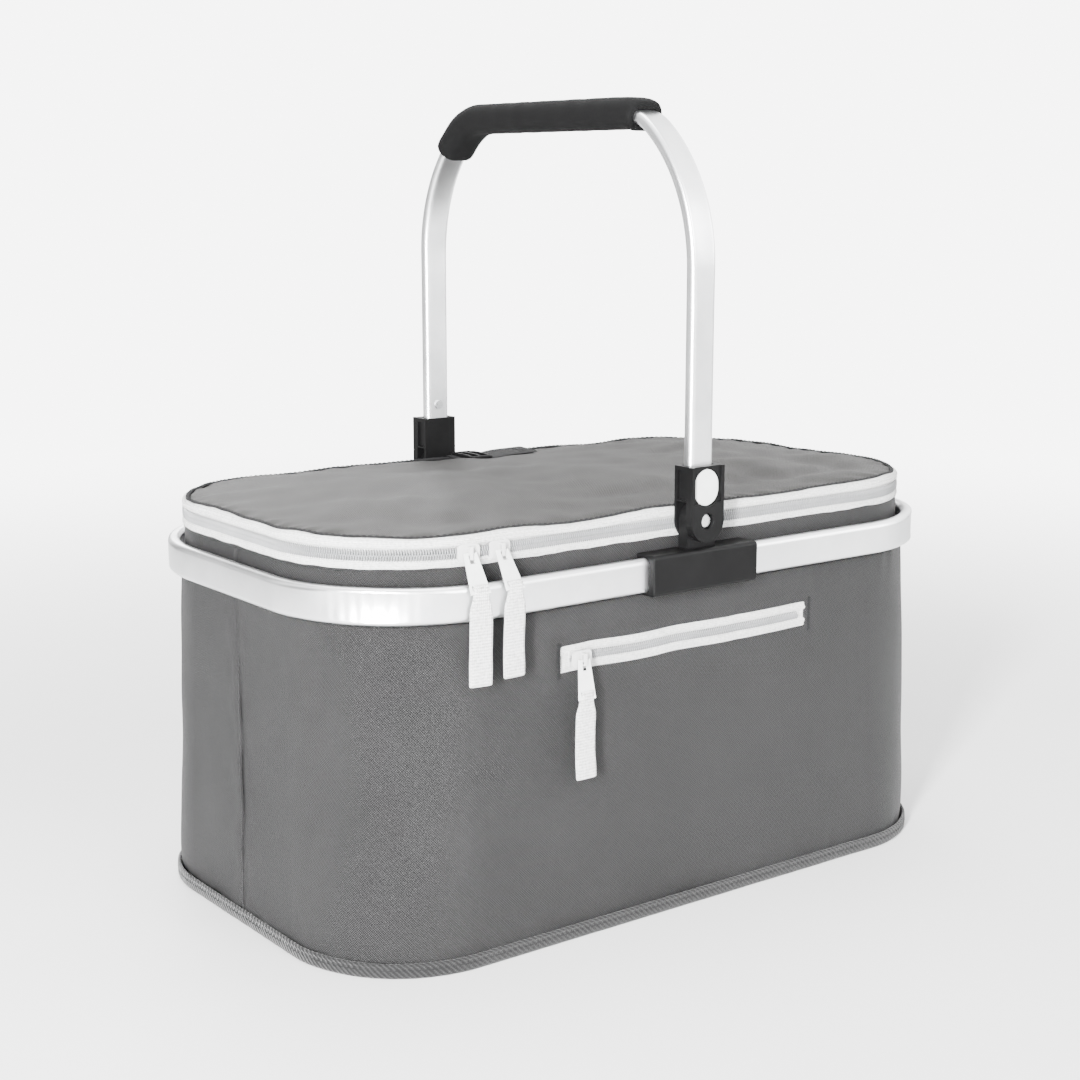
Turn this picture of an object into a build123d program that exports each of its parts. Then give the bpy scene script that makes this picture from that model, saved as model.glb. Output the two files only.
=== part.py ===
from build123d import *
from math import cos, sin, radians
import os

# Insulated folding cooler basket. Millimetres, +Z up, +X along the long side,
# front (pocket side) towards -Y. Origin: centre of the base, on the ground plane.
# An outline is (length, width, corner radius) of a rounded rectangle.
# Names ending in _IN, _OUT or _Y for paired parts are distances from the middle plane
# y = 0; front parts are modelled at -Y and mirrored to the rear.

# ---- driving dimensions -------------------------------------------------
TUBE_WALL, TUBE_R = 1.2, 3.5                    # rim and handle tubes: wall, corner radius
RIM_L, RIM_W, RIM_R = 470.0, 280.0, 90.0        # rim outline, outside
RIM_T, RIM_H = 8.0, 20.0                        # rim tube: thickness, height
RIM_Z = 206.5                                   # rim tube centre height
RIM_Y = (RIM_W - RIM_T) / 2                     # rim tube centre on the long sides
BRACKET_HALF = 10.5                             # half width of the hinge tongue
PIVOT_Z = 234.5                                 # handle pivot height
LEG_Y = 135.5                                   # handle leg centre
LEG_W, LEG_T = 18.0, 8.0                        # handle tube: width, thickness
LEG_Z0, BEND_Z = 247.0, 378.0                   # handle tube foot, start of the bend
BEND_R1, BEND_A1, BEND_R2 = 100.0, 52.0, 40.0   # large bend radius and degrees, small radius
BEND_A2 = 90.0 - BEND_A1                        # degrees of the small bend
SOCKET_HALF, SOCKET_Z1 = 12.25, 266.5           # handle socket half width and top
SOCKET_IN, SOCKET_OUT = 129.5, 145.0            # socket faces
BUTTON_Z = 254.0
BUTTON_L, BUTTON_W = 21.4, 19.0                 # lock button height and width
PIN_D, PIN_HOLE_D = 5.0, 5.1
BASE = (464.0, 276.0, 75.5)                     # edge binding outline
WALL_Z0, WALL_Z1 = 8.2, 194.0
WALL_FOOT = (460.8, 272.8, 74.0)                # wall outline at the base
WALL_TOP = (456.0, 266.0, 82.0)                 # wall outline under the rim
SHELL_T, FOAM_T, LINER_T = 1.2, 4.0, 0.6
COLLAR = (453.2, 258.4, 84.0)
COLLAR_Z1 = 225.0
ZIP = ZIP_L, ZIP_W, ZIP_R = 452.0, 253.6, 83.0  # zip tape outline
ZIP_Z = 232.2                                   # centre line of the zip chain
ZIP_BACK_Y = 112.0                              # zip and piping stop here at the back
LID_HALF_L, LID_Y0, LID_Y1 = 211.5, -123.5, 122.5
HINGE_Y, HINGE_Z = 124.0, 236.0
POCKET_X0, POCKET_X1, POCKET_Z = -97.0, 91.0, 165.0
POCKET_L, POCKET_X = POCKET_X1 - POCKET_X0, (POCKET_X0 + POCKET_X1) / 2

SCREW_X, SCREW_HOLE_R = 27.0, 1.7               # coupling screws, either side of x = 0
COLLAR_RIVET_HOLE_R = 2.1
THIN_CUT = 3.0                                  # length of hole cutters through thin walls
# (x, side) of each fastener; side is -1 at the front, 1 at the rear
COLLAR_RIVETS = [(x, side) for side in (-1, 1) for x in (-115.0, -70.0, 70.0, 115.0)]
COUPLING_SCREWS = [(x, side) for side in (-1, 1) for x in (-SCREW_X, SCREW_X)]
HANDLE_RIVETS = [(0, -1), (0, 1)]

CUT = Mode.SUBTRACT
os.makedirs("parts", exist_ok=True)


# ---- saving ---------------------------------------------------------------
def save(name, builder):
    builder.part.label = name
    export_step(builder.part, f"parts/{name}.step")


def save_pair(name, front):
    """Save a front piece and its mirror image at the rear."""
    save(f"{name}_front", front)
    with BuildPart() as rear:
        mirror(front.part, about=Plane.XZ)
    save(f"{name}_rear", rear)


def save_halves(name, ring):
    """Save a ring as a front and a rear half, each by cutting the other half away."""
    for end, cut_side in (("front", 1), ("rear", -1)):
        with BuildPart() as half:
            add(ring.part)
            block((600, 400, 400), (0, cut_side * 200, 100), mode=CUT)
        save(f"{name}_{end}", half)


def save_plate(name, outline, z0, z1, y=0.0):
    with BuildPart() as plate:
        prism(outline, z0, z1, y=y)
    save(name, plate)


def save_fasteners(name, places, z, cylinders):
    """Fasteners along Y at (x, side) places; cylinders are (distance from y = 0, radius, length)."""
    with BuildPart() as fasteners:
        for x, side in places:
            for distance, radius, length in cylinders:
                y_cylinder(radius, length, (x, side * distance, z))
    save(name, fasteners)


def save_at(name, location, source):
    with BuildPart() as placed:
        with Locations(location):
            add(source.part)
    save(name, placed)


# ---- shapes added to the active part --------------------------------------
def inset(outline, depth):
    """Outline moved in by depth, or out where depth is negative."""
    length, width, radius = outline
    return (length - 2 * depth, width - 2 * depth, radius - depth)


def block(size, *centres, mode=Mode.ADD):
    with Locations(*centres):
        Box(*size, mode=mode)


def y_cylinder(radius, length, *centres, mode=Mode.ADD):
    with Locations(*centres):
        Cylinder(radius, length, rotation=(90, 0, 0), mode=mode)


def prism(outline, z0, z1, mode=Mode.ADD, y=0.0):
    """Rounded rectangular plate between two heights."""
    with BuildSketch(Plane.XY.offset(z0)) as profile:
        with Locations((0, y)):
            RectangleRounded(*outline)
    extrude(profile.sketch, amount=z1 - z0, mode=mode)


def taper(z0, low_outline, z1, high_outline, mode=Mode.ADD):
    """Ruled loft between two rounded rectangles."""
    with BuildSketch(Plane.XY.offset(z0)) as low:
        RectangleRounded(*low_outline)
    with BuildSketch(Plane.XY.offset(z1)) as high:
        RectangleRounded(*high_outline)
    loft([low.sketch.face(), high.sketch.face()], ruled=True, mode=mode)


def sweep_outline(start, path, outline, mode=Mode.ADD):
    with BuildSketch(start) as profile:
        RectangleRounded(*outline)
    sweep(profile.sketch, path=path, mode=mode)


def sweep_tube(start, path, outline):
    sweep_outline(start, path, outline)
    sweep_outline(start, path, inset(outline, TUBE_WALL), mode=CUT)


def wall_outline(z, depth):
    """Wall outline at height z, moved in by depth."""
    t = (z - WALL_Z0) / (WALL_Z1 - WALL_Z0)
    return inset([foot + (top - foot) * t for foot, top in zip(WALL_FOOT, WALL_TOP)], depth)


def wall_ring(z0, z1, depth, thickness):
    inner = depth + thickness
    taper(z0, wall_outline(z0, depth), z1, wall_outline(z1, depth))
    taper(z0, wall_outline(z0, inner), z1, wall_outline(z1, inner), mode=CUT)


def cut_back():
    """Open a zip-level ring along the back."""
    block((600, 400, 60), (0, ZIP_BACK_Y + 200, ZIP_Z), mode=CUT)


def screw_points(y):
    return [(-SCREW_X, y, RIM_Z), (SCREW_X, y, RIM_Z)]


def pivot_outline(half_width, far_z):
    """Strip from the pivot to far_z, rounded about the pivot, in the active sketch."""
    with Locations((0, (far_z + PIVOT_Z) / 2)):
        Rectangle(2 * half_width, abs(far_z - PIVOT_Z))
    with Locations((0, PIVOT_Z)):
        Circle(half_width)


# ---- rim: two bent tube halves ------------------------------------------
RIM_END_GAP = 0.5                               # tube end to hinge tongue


def add_rim_half(sign):
    x0, x1 = sign * (BRACKET_HALF + RIM_END_GAP), sign * (RIM_L - RIM_T) / 2
    corners = [(x0, -RIM_Y), (x1, -RIM_Y), (x1, RIM_Y), (x0, RIM_Y)]
    with BuildLine(Plane.XY.offset(RIM_Z)) as path:
        FilletPolyline(*corners, radius=RIM_R - RIM_T / 2)
    start = Plane(origin=(x0, -RIM_Y, RIM_Z), x_dir=(0, 1, 0), z_dir=(sign, 0, 0))
    sweep_tube(start, path.wires()[0], (RIM_T, RIM_H, TUBE_R))
    # rivet and screw holes in the inner wall
    inner_wall_y = RIM_W / 2 - RIM_T + TUBE_WALL / 2
    for places, radius in ((COLLAR_RIVETS, COLLAR_RIVET_HOLE_R), (COUPLING_SCREWS, SCREW_HOLE_R)):
        for x, side in places:
            if x * sign > 0:
                y_cylinder(radius, THIN_CUT, (x, side * inner_wall_y, RIM_Z), mode=CUT)


for end, sign in (("left", -1), ("right", 1)):
    with BuildPart() as rim_tube:
        add_rim_half(sign)
    save(f"rim_tube_{end}", rim_tube)

# ---- hinge bracket: tongue with two spigots inside the rim tubes --------
TONGUE_Z0 = RIM_Z - RIM_H / 2 + 0.2
SPIGOT_HALF, SPIGOT_GAP, SPIGOT_R = 37.0, 0.4, 2.2   # half length, total gap, corner radius
BLIND_R, BLIND_DEPTH, BLIND_Y = 1.55, 4.2, 134.6     # blind screw holes

with BuildPart() as hinge_bracket:
    with BuildSketch(Plane.XZ.offset(LEG_Y - LEG_T / 2)):
        pivot_outline(BRACKET_HALF, TONGUE_Z0)
    extrude(amount=LEG_T)
    # spigots
    with BuildSketch(Plane.YZ.offset(-SPIGOT_HALF)):
        with Locations((-RIM_Y, RIM_Z)):
            RectangleRounded(RIM_T - 2 * TUBE_WALL - SPIGOT_GAP,
                             RIM_H - 2 * TUBE_WALL - SPIGOT_GAP, SPIGOT_R)
    extrude(amount=2 * SPIGOT_HALF)
    y_cylinder(PIN_HOLE_D / 2, 12.0, (0, -LEG_Y, PIVOT_Z), mode=CUT)
    y_cylinder(BLIND_R, BLIND_DEPTH, *screw_points(-BLIND_Y), mode=CUT)
save_pair("hinge_bracket", hinge_bracket)

# ---- coupling sleeve over the joint of the rim --------------------------
COUPLING_HALF, COUPLING_H = 40.0, 24.0
COUPLING_IN = 129.6                             # inner face
COUPLING_LONG_R, COUPLING_END_R = 2.6, 1.2      # outer edge fillets: along X, along Z
BORE_GAP = 0.3                                  # total, around the rim tube
TONGUE_GAP = 0.4                                # total, around the hinge tongue
HEAD_RECESS_R = 3.2

with BuildPart() as rim_coupling:
    block((2 * COUPLING_HALF, SOCKET_OUT - COUPLING_IN, COUPLING_H),
          (0, -(COUPLING_IN + SOCKET_OUT) / 2, RIM_Z))
    fillet(rim_coupling.edges().filter_by(Axis.X).group_by(Axis.Y)[0], COUPLING_LONG_R)
    fillet(rim_coupling.edges().filter_by(Axis.Z).group_by(Axis.Y)[0], COUPLING_END_R)
    with BuildSketch(Plane.YZ.offset(-COUPLING_HALF - 1)):
        with Locations((-RIM_Y, RIM_Z)):
            RectangleRounded(RIM_T + BORE_GAP, RIM_H + BORE_GAP, TUBE_R)
    extrude(amount=2 * COUPLING_HALF + 2, mode=CUT)
    # tongue slot: through the top wall, then beside the tube bore
    slot_l, slot_w = 2 * BRACKET_HALF + TONGUE_GAP, LEG_T + TONGUE_GAP
    block((slot_l, slot_w, 8.0), (0, -LEG_Y, RIM_Z + RIM_H / 2), mode=CUT)
    block((slot_l, slot_w, RIM_H), (0, -LEG_Y, RIM_Z), mode=CUT)
    # screw holes, with head recesses cut in two overlapping steps
    y_cylinder(SCREW_HOLE_R, 5.0, *screw_points(-131), mode=CUT)
    y_cylinder(HEAD_RECESS_R, 0.8, *screw_points(-131), mode=CUT)
    y_cylinder(HEAD_RECESS_R, 1.6, *screw_points(-129.9), mode=CUT)
save_pair("rim_coupling", rim_coupling)

save_fasteners("coupling_screws", COUPLING_SCREWS, RIM_Z, [
    (133.6, 1.5, 6.0),                          # shank
    (130.25, 3.0, 0.9),                         # head
])

# ---- collar of the bag, inside the rim ----------------------------------
with BuildPart() as top_collar:
    prism(COLLAR, WALL_Z1 + 0.2, COLLAR_Z1)
    prism(inset(COLLAR, SHELL_T), WALL_Z1, COLLAR_Z1 + 1, mode=CUT)
    for x, side in COLLAR_RIVETS:
        hole_y = side * (COLLAR[1] - SHELL_T) / 2
        y_cylinder(COLLAR_RIVET_HOLE_R, THIN_CUT, (x, hole_y, RIM_Z), mode=CUT)
save("top_collar", top_collar)

save_fasteners("collar_rivets", COLLAR_RIVETS, RIM_Z, [
    (130.5, 2.0, 7.0),                          # shank
    (127.4, 4.5, 0.8),                          # inner head
    (134.0, 2.6, 1.2),                          # outer head
])

# ---- bag walls -----------------------------------------------------------
POUCH_L, POUCH_T, POUCH_H = 200.0, 1.0, 114.0
POUCH_Y, POUCH_Z = -131.4, 118.0
POUCH_MARGIN = 3.0                              # foam recess around the pouch
LINER_Z0 = 9.6
LINER_FOOT, LINER_TOP = (448.6, 260.6, 68.0), (443.0, 251.0, 78.0)

with BuildPart() as shell_ring:
    wall_ring(WALL_Z0, WALL_Z1, 0, SHELL_T)
    # pocket opening
    block((POCKET_L + 2, 8, 11.2), (POCKET_X, -133, POCKET_Z), mode=CUT)
save_halves("wall_shell", shell_ring)

with BuildPart() as foam_ring:
    wall_ring(WALL_Z0 + 0.4, WALL_Z1 - 0.5, SHELL_T + 0.2, FOAM_T)
    # pouch recess
    block((POUCH_L + 2 * POUCH_MARGIN, 6, POUCH_H + 2 * POUCH_MARGIN),
          (POCKET_X, -133.6, POUCH_Z), mode=CUT)
save_halves("wall_foam", foam_ring)

with BuildPart() as liner_walls:
    taper(LINER_Z0, LINER_FOOT, COLLAR_Z1, LINER_TOP)
    taper(LINER_Z0, inset(LINER_FOOT, LINER_T), COLLAR_Z1, inset(LINER_TOP, LINER_T), mode=CUT)
save("liner_walls", liner_walls)

with BuildPart() as pocket_pouch:
    block((POUCH_L, POUCH_T, POUCH_H), (POCKET_X, POUCH_Y, POUCH_Z))
    # hollow, open at the top
    block((POUCH_L - 4, 0.4, POUCH_H - 2), (POCKET_X, POUCH_Y, POUCH_Z + 2), mode=CUT)
save("pocket_pouch", pocket_pouch)

# ---- base ----------------------------------------------------------------
save_plate("bottom_panel", (455.6, 267.6, 71.0), 0, 1.2)
save_plate("base_board", (452.0, 264.0, 69.0), 1.4, 3.4)
save_plate("base_foam", (448.5, 260.5, 68.0), 3.6, 8.6)
save_plate("liner_floor", (446.0, 258.0, 66.0), 8.8, 8.8 + LINER_T)

BINDING_W, BINDING_H = 4.0, 8.0
with BuildPart() as bottom_binding:
    prism(BASE, 0, BINDING_H)
    prism(inset(BASE, BINDING_W), -1, BINDING_H + 1, mode=CUT)
save("bottom_binding", bottom_binding)

# ---- lid zip -------------------------------------------------------------
TAPE_T, TAPE_GAP = 0.9, 1.0                     # thickness, edge to chain line
CHAIN_OUT = 1.3                                 # chain band stands out from the tape
CHAIN_NEAR, CHAIN_FAR = 0.8, 3.2                # chain band edges from the chain line
UPPER_Z1, UPPER_INNER_Z1 = 239.4, 238.6         # top of the upper zip, under its top flange
UPPER_OPENING = (438.0, 248.4, 77.0)            # opening in the top flange

with BuildPart() as lid_zip_lower:
    prism(ZIP, COLLAR_Z1 + 0.2, ZIP_Z - TAPE_GAP)
    prism(inset(ZIP, -CHAIN_OUT), ZIP_Z - CHAIN_FAR, ZIP_Z - CHAIN_NEAR)
    prism(inset(ZIP, TAPE_T), COLLAR_Z1 - 1, ZIP_Z + 1, mode=CUT)
    cut_back()
save("lid_zip_lower", lid_zip_lower)

with BuildPart() as lid_zip_upper:
    prism(ZIP, ZIP_Z + TAPE_GAP, UPPER_Z1)
    prism(inset(ZIP, -CHAIN_OUT), ZIP_Z + CHAIN_NEAR, ZIP_Z + CHAIN_FAR)
    prism(inset(ZIP, TAPE_T), ZIP_Z - 1, UPPER_INNER_Z1, mode=CUT)
    prism(UPPER_OPENING, 238, 240, mode=CUT)
    cut_back()
save("lid_zip_upper", lid_zip_upper)

# fabric hinge along the back edge, with a sewn bead on the hinge axis
STRIP_L, STRIP_T, BEAD_R = 284.0, 1.2, 1.2
with BuildPart() as lid_hinge_strip:
    block((STRIP_L, STRIP_T, 10.2), (0, 125.8, 230.4))
    block((STRIP_L, 2.4, 1.6), (0, 125.2, HINGE_Z))
    with Locations((0, HINGE_Y, HINGE_Z)):
        Cylinder(BEAD_R, STRIP_L, rotation=(0, 90, 0))
save("lid_hinge_strip", lid_hinge_strip)

# ---- lid -----------------------------------------------------------------
LID_L, LID_W, LID_Y = 2 * LID_HALF_L, LID_Y1 - LID_Y0, (LID_Y0 + LID_Y1) / 2
save_plate("lid_cover", (LID_L, LID_W, 76.0), 239.5, 240.7, y=LID_Y)
save_plate("lid_foam", (LID_L - 2, LID_W - 1, 75.0), 233.4, 238.4, y=LID_Y)
save_plate("lid_liner", (LID_L - 4, LID_W - 3, 74.0), 232.6, 232.6 + LINER_T, y=LID_Y)

PIPING_W, PIPING_Z0, PIPING_Z1 = 3.0, 239.6, 241.6
with BuildPart() as lid_piping:
    prism(ZIP, PIPING_Z0, PIPING_Z1)
    prism(inset(ZIP, PIPING_W), 239, 242, mode=CUT)
    cut_back()
save("lid_piping", lid_piping)

STRAP_Y, STRAP_Z, RING_X = 107.0, 242.3, 10.0
STRAP_SIZE, STRAP_SLOT = (64, 22, 2.8), (50, 24, 1.0)
RING_SIZE = (9, 27, 3.6)
RING_OPENING, RING_STRAP_WAY = (6, 23, 8.0), (40, 22.6, 3.4)

with BuildPart() as lid_strap:
    block(STRAP_SIZE, (28, STRAP_Y, STRAP_Z))
    block(STRAP_SLOT, (31, STRAP_Y, STRAP_Z), mode=CUT)
save("lid_strap", lid_strap)

with BuildPart() as strap_ring:
    block(RING_SIZE, (RING_X, STRAP_Y, 242.9))
    block(RING_OPENING, (RING_X, STRAP_Y, STRAP_Z), mode=CUT)
    block(RING_STRAP_WAY, (RING_X, STRAP_Y, STRAP_Z), mode=CUT)
save("strap_ring", strap_ring)

# ---- handle tube and grip --------------------------------------------------
LEG = (LEG_W, LEG_T, TUBE_R)
A1, A2 = radians(BEND_A1), radians(BEND_A2)
JOIN_Y = LEG_Y - BEND_R1 + BEND_R1 * cos(A1)    # end of the large bend
JOIN_Z = BEND_Z + BEND_R1 * sin(A1)
TOP_Y = JOIN_Y - BEND_R2 * cos(A1)              # end of the small bend
TOP_Z = JOIN_Z + BEND_R2 * (1 - sin(A1))
LEG_WALL_OFFSET = (LEG_T - TUBE_WALL) / 2       # leg centre to the middle of its wall
STEM_HOLE_R = 3.3
HANDLE_RIVET_Z, HANDLE_RIVET_HOLE_R = 275.5, 1.6
GRIP = (26.0, 18.6, 8.6)
GRIP_GAP = 0.3                                  # per side, around the handle tube
GRIP_A0 = 19.7   # degrees of the small bend covered at the front end
GRIP_A1 = 10.0   # degrees of the large bend covered at the rear end


def handle_path():
    with BuildLine(Plane.YZ) as path:
        front_leg = Line((-LEG_Y, LEG_Z0), (-LEG_Y, BEND_Z))
        JernArc(start=front_leg @ 1, tangent=(0, 1), radius=BEND_R1, arc_size=-BEND_A1)
        front_small = JernArc(start=(-JOIN_Y, JOIN_Z), tangent=(cos(A2), sin(A2)),
                              radius=BEND_R2, arc_size=-BEND_A2)
        Line(front_small @ 1, (TOP_Y, TOP_Z))
        rear_small = JernArc(start=(TOP_Y, TOP_Z), tangent=(1, 0),
                             radius=BEND_R2, arc_size=-BEND_A2)
        rear_large = JernArc(start=rear_small @ 1, tangent=(cos(A2), -sin(A2)),
                             radius=BEND_R1, arc_size=-BEND_A1)
        Line(rear_large @ 1, (LEG_Y, LEG_Z0))
    return path.wires()[0]


def grip_path(start_y, start_z, direction):
    with BuildLine(Plane.YZ) as path:
        front_small = JernArc(start=(start_y, start_z), tangent=direction,
                              radius=BEND_R2, arc_size=-GRIP_A0)
        top = Line(front_small @ 1, (TOP_Y, TOP_Z))
        rear_small = JernArc(start=top @ 1, tangent=(1, 0), radius=BEND_R2, arc_size=-BEND_A2)
        JernArc(start=rear_small @ 1, tangent=(cos(A2), -sin(A2)),
                radius=BEND_R1, arc_size=-GRIP_A1)
    return path.wires()[0]


with BuildPart() as handle_tube:
    leg_foot = Plane(origin=(0, -LEG_Y, LEG_Z0), x_dir=(1, 0, 0), z_dir=(0, 0, 1))
    sweep_tube(leg_foot, handle_path(), LEG)
    for side in (-1, 1):
        outer_wall = (0, side * (LEG_Y + LEG_WALL_OFFSET), BUTTON_Z)
        y_cylinder(STEM_HOLE_R, THIN_CUT, outer_wall, mode=CUT)
        inner_wall = (0, side * (LEG_Y - LEG_WALL_OFFSET), HANDLE_RIVET_Z)
        y_cylinder(HANDLE_RIVET_HOLE_R, THIN_CUT, inner_wall, mode=CUT)
save("handle_tube", handle_tube)

with BuildPart() as handle_grip:
    angle = radians(GRIP_A0)
    grip_y = -TOP_Y - BEND_R2 * sin(angle)
    grip_z = TOP_Z - BEND_R2 * (1 - cos(angle))
    grip_wire = grip_path(grip_y, grip_z, (cos(angle), sin(angle)))
    grip_start = Plane(origin=(0, grip_y, grip_z), x_dir=(1, 0, 0),
                       z_dir=(0, cos(angle), sin(angle)))
    sweep_outline(grip_start, grip_wire, GRIP)
    sweep_outline(grip_start, grip_wire, inset(LEG, -GRIP_GAP), mode=CUT)
save("handle_grip", handle_grip)

# ---- handle socket ---------------------------------------------------------
FORK_Z1 = 246.0                                 # top of the fork gap
WINDOW_GAP = 0.6                                # total, around the lock button
CHANNEL_SIZE, CHANNEL_Z = (19.8, 2.0, 26), 258.0
GROOVE_SIZE, GROOVE_Z = (2.8, 7.0, 17.0), 255.5
COUNTERBORE_R, COUNTERBORE_DEPTH, COUNTERBORE_Y = 4.7, 6.0, 141.2   # y of its floor

with BuildPart() as handle_socket:
    with BuildSketch(Plane.XZ.offset(SOCKET_IN)):
        pivot_outline(SOCKET_HALF, SOCKET_Z1)
    extrude(amount=SOCKET_OUT - SOCKET_IN)
    # pocket for the handle tube
    block((LEG_W + 0.4, LEG_T + 0.5, 30), (0, -LEG_Y, 257), mode=CUT)
    # fork around the tongue
    block((40, LEG_T + 0.6, 40), (0, -LEG_Y, FORK_Z1 - 20), mode=CUT)
    # window for the lock button
    with BuildSketch(Plane.XZ.offset(LEG_Y + LEG_T / 2)):
        with Locations((0, BUTTON_Z)):
            SlotOverall(BUTTON_L + WINDOW_GAP, BUTTON_W + WINDOW_GAP, rotation=90)
    extrude(amount=10, mode=CUT)
    # shallow channel between two rails on the outer face
    block(CHANNEL_SIZE, (0, -SOCKET_OUT, CHANNEL_Z), mode=CUT)
    # side grooves
    block(GROOVE_SIZE, (SOCKET_HALF, -LEG_Y, GROOVE_Z), (-SOCKET_HALF, -LEG_Y, GROOVE_Z),
          mode=CUT)
    # pin hole with a counterbore on the outside
    y_cylinder(PIN_HOLE_D / 2, 40, (0, -LEG_Y, PIVOT_Z), mode=CUT)
    y_cylinder(COUNTERBORE_R, COUNTERBORE_DEPTH,
               (0, -(COUNTERBORE_Y + COUNTERBORE_DEPTH / 2), PIVOT_Z), mode=CUT)
save_pair("handle_socket", handle_socket)

# ---- pivot pin: shaft, rounded outer head, inner disc ----------------------
PIN_L, PIN_Y = 13.0, 135.6
PIN_HEAD_R, PIN_HEAD_T, PIN_HEAD_Y, PIN_HEAD_FILLET = 4.2, 1.6, 142.2, 0.9
PIN_DISC_R, PIN_DISC_T, PIN_DISC_Y = 3.4, 1.0, 128.9

with BuildPart() as pivot_pin:
    y_cylinder(PIN_D / 2, PIN_L, (0, -PIN_Y, PIVOT_Z))
    y_cylinder(PIN_HEAD_R, PIN_HEAD_T, (0, -PIN_HEAD_Y, PIVOT_Z))
    fillet(pivot_pin.edges().sort_by(Axis.Y)[0], PIN_HEAD_FILLET)
    y_cylinder(PIN_DISC_R, PIN_DISC_T, (0, -PIN_DISC_Y, PIVOT_Z))
save_pair("pivot_pin", pivot_pin)

# ---- lock button and latch spring ------------------------------------------
BUTTON_IN, BUTTON_T, BUTTON_FILLET = 141.4, 1.8, 0.7   # inner face, thickness, outer edge
STEM_R, STEM_IN, STEM_OUT = 3.0, 136.5, 141.5
SPRING_W, SPRING_Y = 10.0, 133.15

with BuildPart() as lock_button:
    with BuildSketch(Plane.XZ.offset(BUTTON_IN)):
        with Locations((0, BUTTON_Z)):
            SlotOverall(BUTTON_L, BUTTON_W, rotation=90)
    extrude(amount=BUTTON_T)
    fillet(lock_button.faces().sort_by(Axis.Y)[0].edges(), BUTTON_FILLET)
    y_cylinder(STEM_R, STEM_OUT - STEM_IN, (0, -(STEM_IN + STEM_OUT) / 2, BUTTON_Z))
save_pair("lock_button", lock_button)

with BuildPart() as latch_spring:
    block((SPRING_W, 0.5, 33), (0, -SPRING_Y, 265))
    # pad level with the button
    block((SPRING_W, 1.3, 6), (0, -133.95, BUTTON_Z))
    y_cylinder(HANDLE_RIVET_HOLE_R, THIN_CUT, (0, -SPRING_Y, HANDLE_RIVET_Z), mode=CUT)
save_pair("latch_spring", latch_spring)

save_fasteners("handle_rivets", HANDLE_RIVETS, HANDLE_RIVET_Z, [
    (132.8, 1.5, 3.6),                          # shank
    (130.95, 3.0, 1.0),                         # inner head
    (134.3, 2.4, 1.0),                          # outer head
])

# ---- zip sliders and pulls -------------------------------------------------
# Built about the slider's own centre: x = 0, y = 0 on the tape's outer face,
# z = 0 on the chain line. The pull hangs from its pivot and leans out towards -Y.
PULL_Y, PULL_Z = -4.4, -0.5                     # pull pivot
PULL_BAR_R, PULL_BAR_L = 0.75, 6.8
TAB_T, TAB_TOP = 1.2, 0.7                       # thickness, top edge above the pivot
TAB_TOP_HALF, TAB_FOOT_HALF = 3.8, 5.8          # half widths
RIBBON_W, RIBBON_T = 13.0, 1.8
LOOP_T, LOOP_GAP = 3.0, 1.6                     # ribbon loop thickness, gap inside it

with BuildPart() as slider_body:
    # outer plate with rounded corners
    block((13, 1.4, 10), (0, -2.3, 0))
    fillet(slider_body.edges().filter_by(Axis.Y), 2.5)
    # inner plate and the neck between the plates
    block((12, 1.2, 9.6), (0, 1.8, 0))
    block((3, 3.0, 1.2), (0, -0.2, 0))
    # bail and its two feet
    block((2.0, 3.4, 7.0), (0, -4.6, 0.3))
    block((3.0, 2.2, 5.4), (0, -4.6, 0.3), mode=CUT)
    block((2.0, 1.0, 0.8), (0, -3.2, 3.2), (0, -3.2, -2.6))


def pull_plane(lean):
    return Plane(origin=(0, PULL_Y, PULL_Z), x_dir=(1, 0, 0), z_dir=(0, -cos(lean), sin(lean)))


def add_tab(lean, length):
    """Tapered tab with two windows, and its pivot bar inside the slider's bail."""
    with BuildSketch(pull_plane(lean).offset(-TAB_T / 2)) as tab:
        Polygon((-TAB_TOP_HALF, TAB_TOP), (-TAB_FOOT_HALF, -length),
                (TAB_FOOT_HALF, -length), (TAB_TOP_HALF, TAB_TOP), align=None)
        with Locations((0, -3.2)):
            Rectangle(3.2, 5.0, mode=CUT)
        with Locations((0, -length + 3.4)):
            Rectangle(8.6, 2.8, mode=CUT)
    extrude(tab.sketch, amount=TAB_T)
    with Locations((0, PULL_Y, PULL_Z)):
        Cylinder(PULL_BAR_R, PULL_BAR_L, rotation=(0, 90, 0))


def add_ribbon(lean, length, drop):
    """Loop through the tab's lower window, and a ribbon ending drop below the chain line."""
    plane = pull_plane(lean)
    with BuildSketch(plane.offset(-LOOP_T / 2)) as loop:
        with Locations((0, -length + 0.4)):
            Rectangle(8.0, 6.4)
    extrude(loop.sketch, amount=LOOP_T)
    with BuildSketch(plane.offset(-LOOP_GAP / 2)) as gap:
        with Locations((0, -length + 1.0)):
            Rectangle(20.0, 2.5)
    extrude(gap.sketch, amount=LOOP_GAP, mode=CUT)
    reach = length + 1.8                        # from the pivot, along the tab
    ribbon_y, ribbon_top = PULL_Y - reach * sin(lean), PULL_Z - reach * cos(lean)
    block((RIBBON_W, RIBBON_T, ribbon_top + drop), (0, ribbon_y - 0.1, (ribbon_top - drop) / 2))


def build_pull(lean_degrees, length, drop):
    lean = radians(lean_degrees)
    with BuildPart() as tab:
        add_tab(lean, length)
    with BuildPart() as ribbon:
        add_ribbon(lean, length, drop)
    return tab, ribbon


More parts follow.
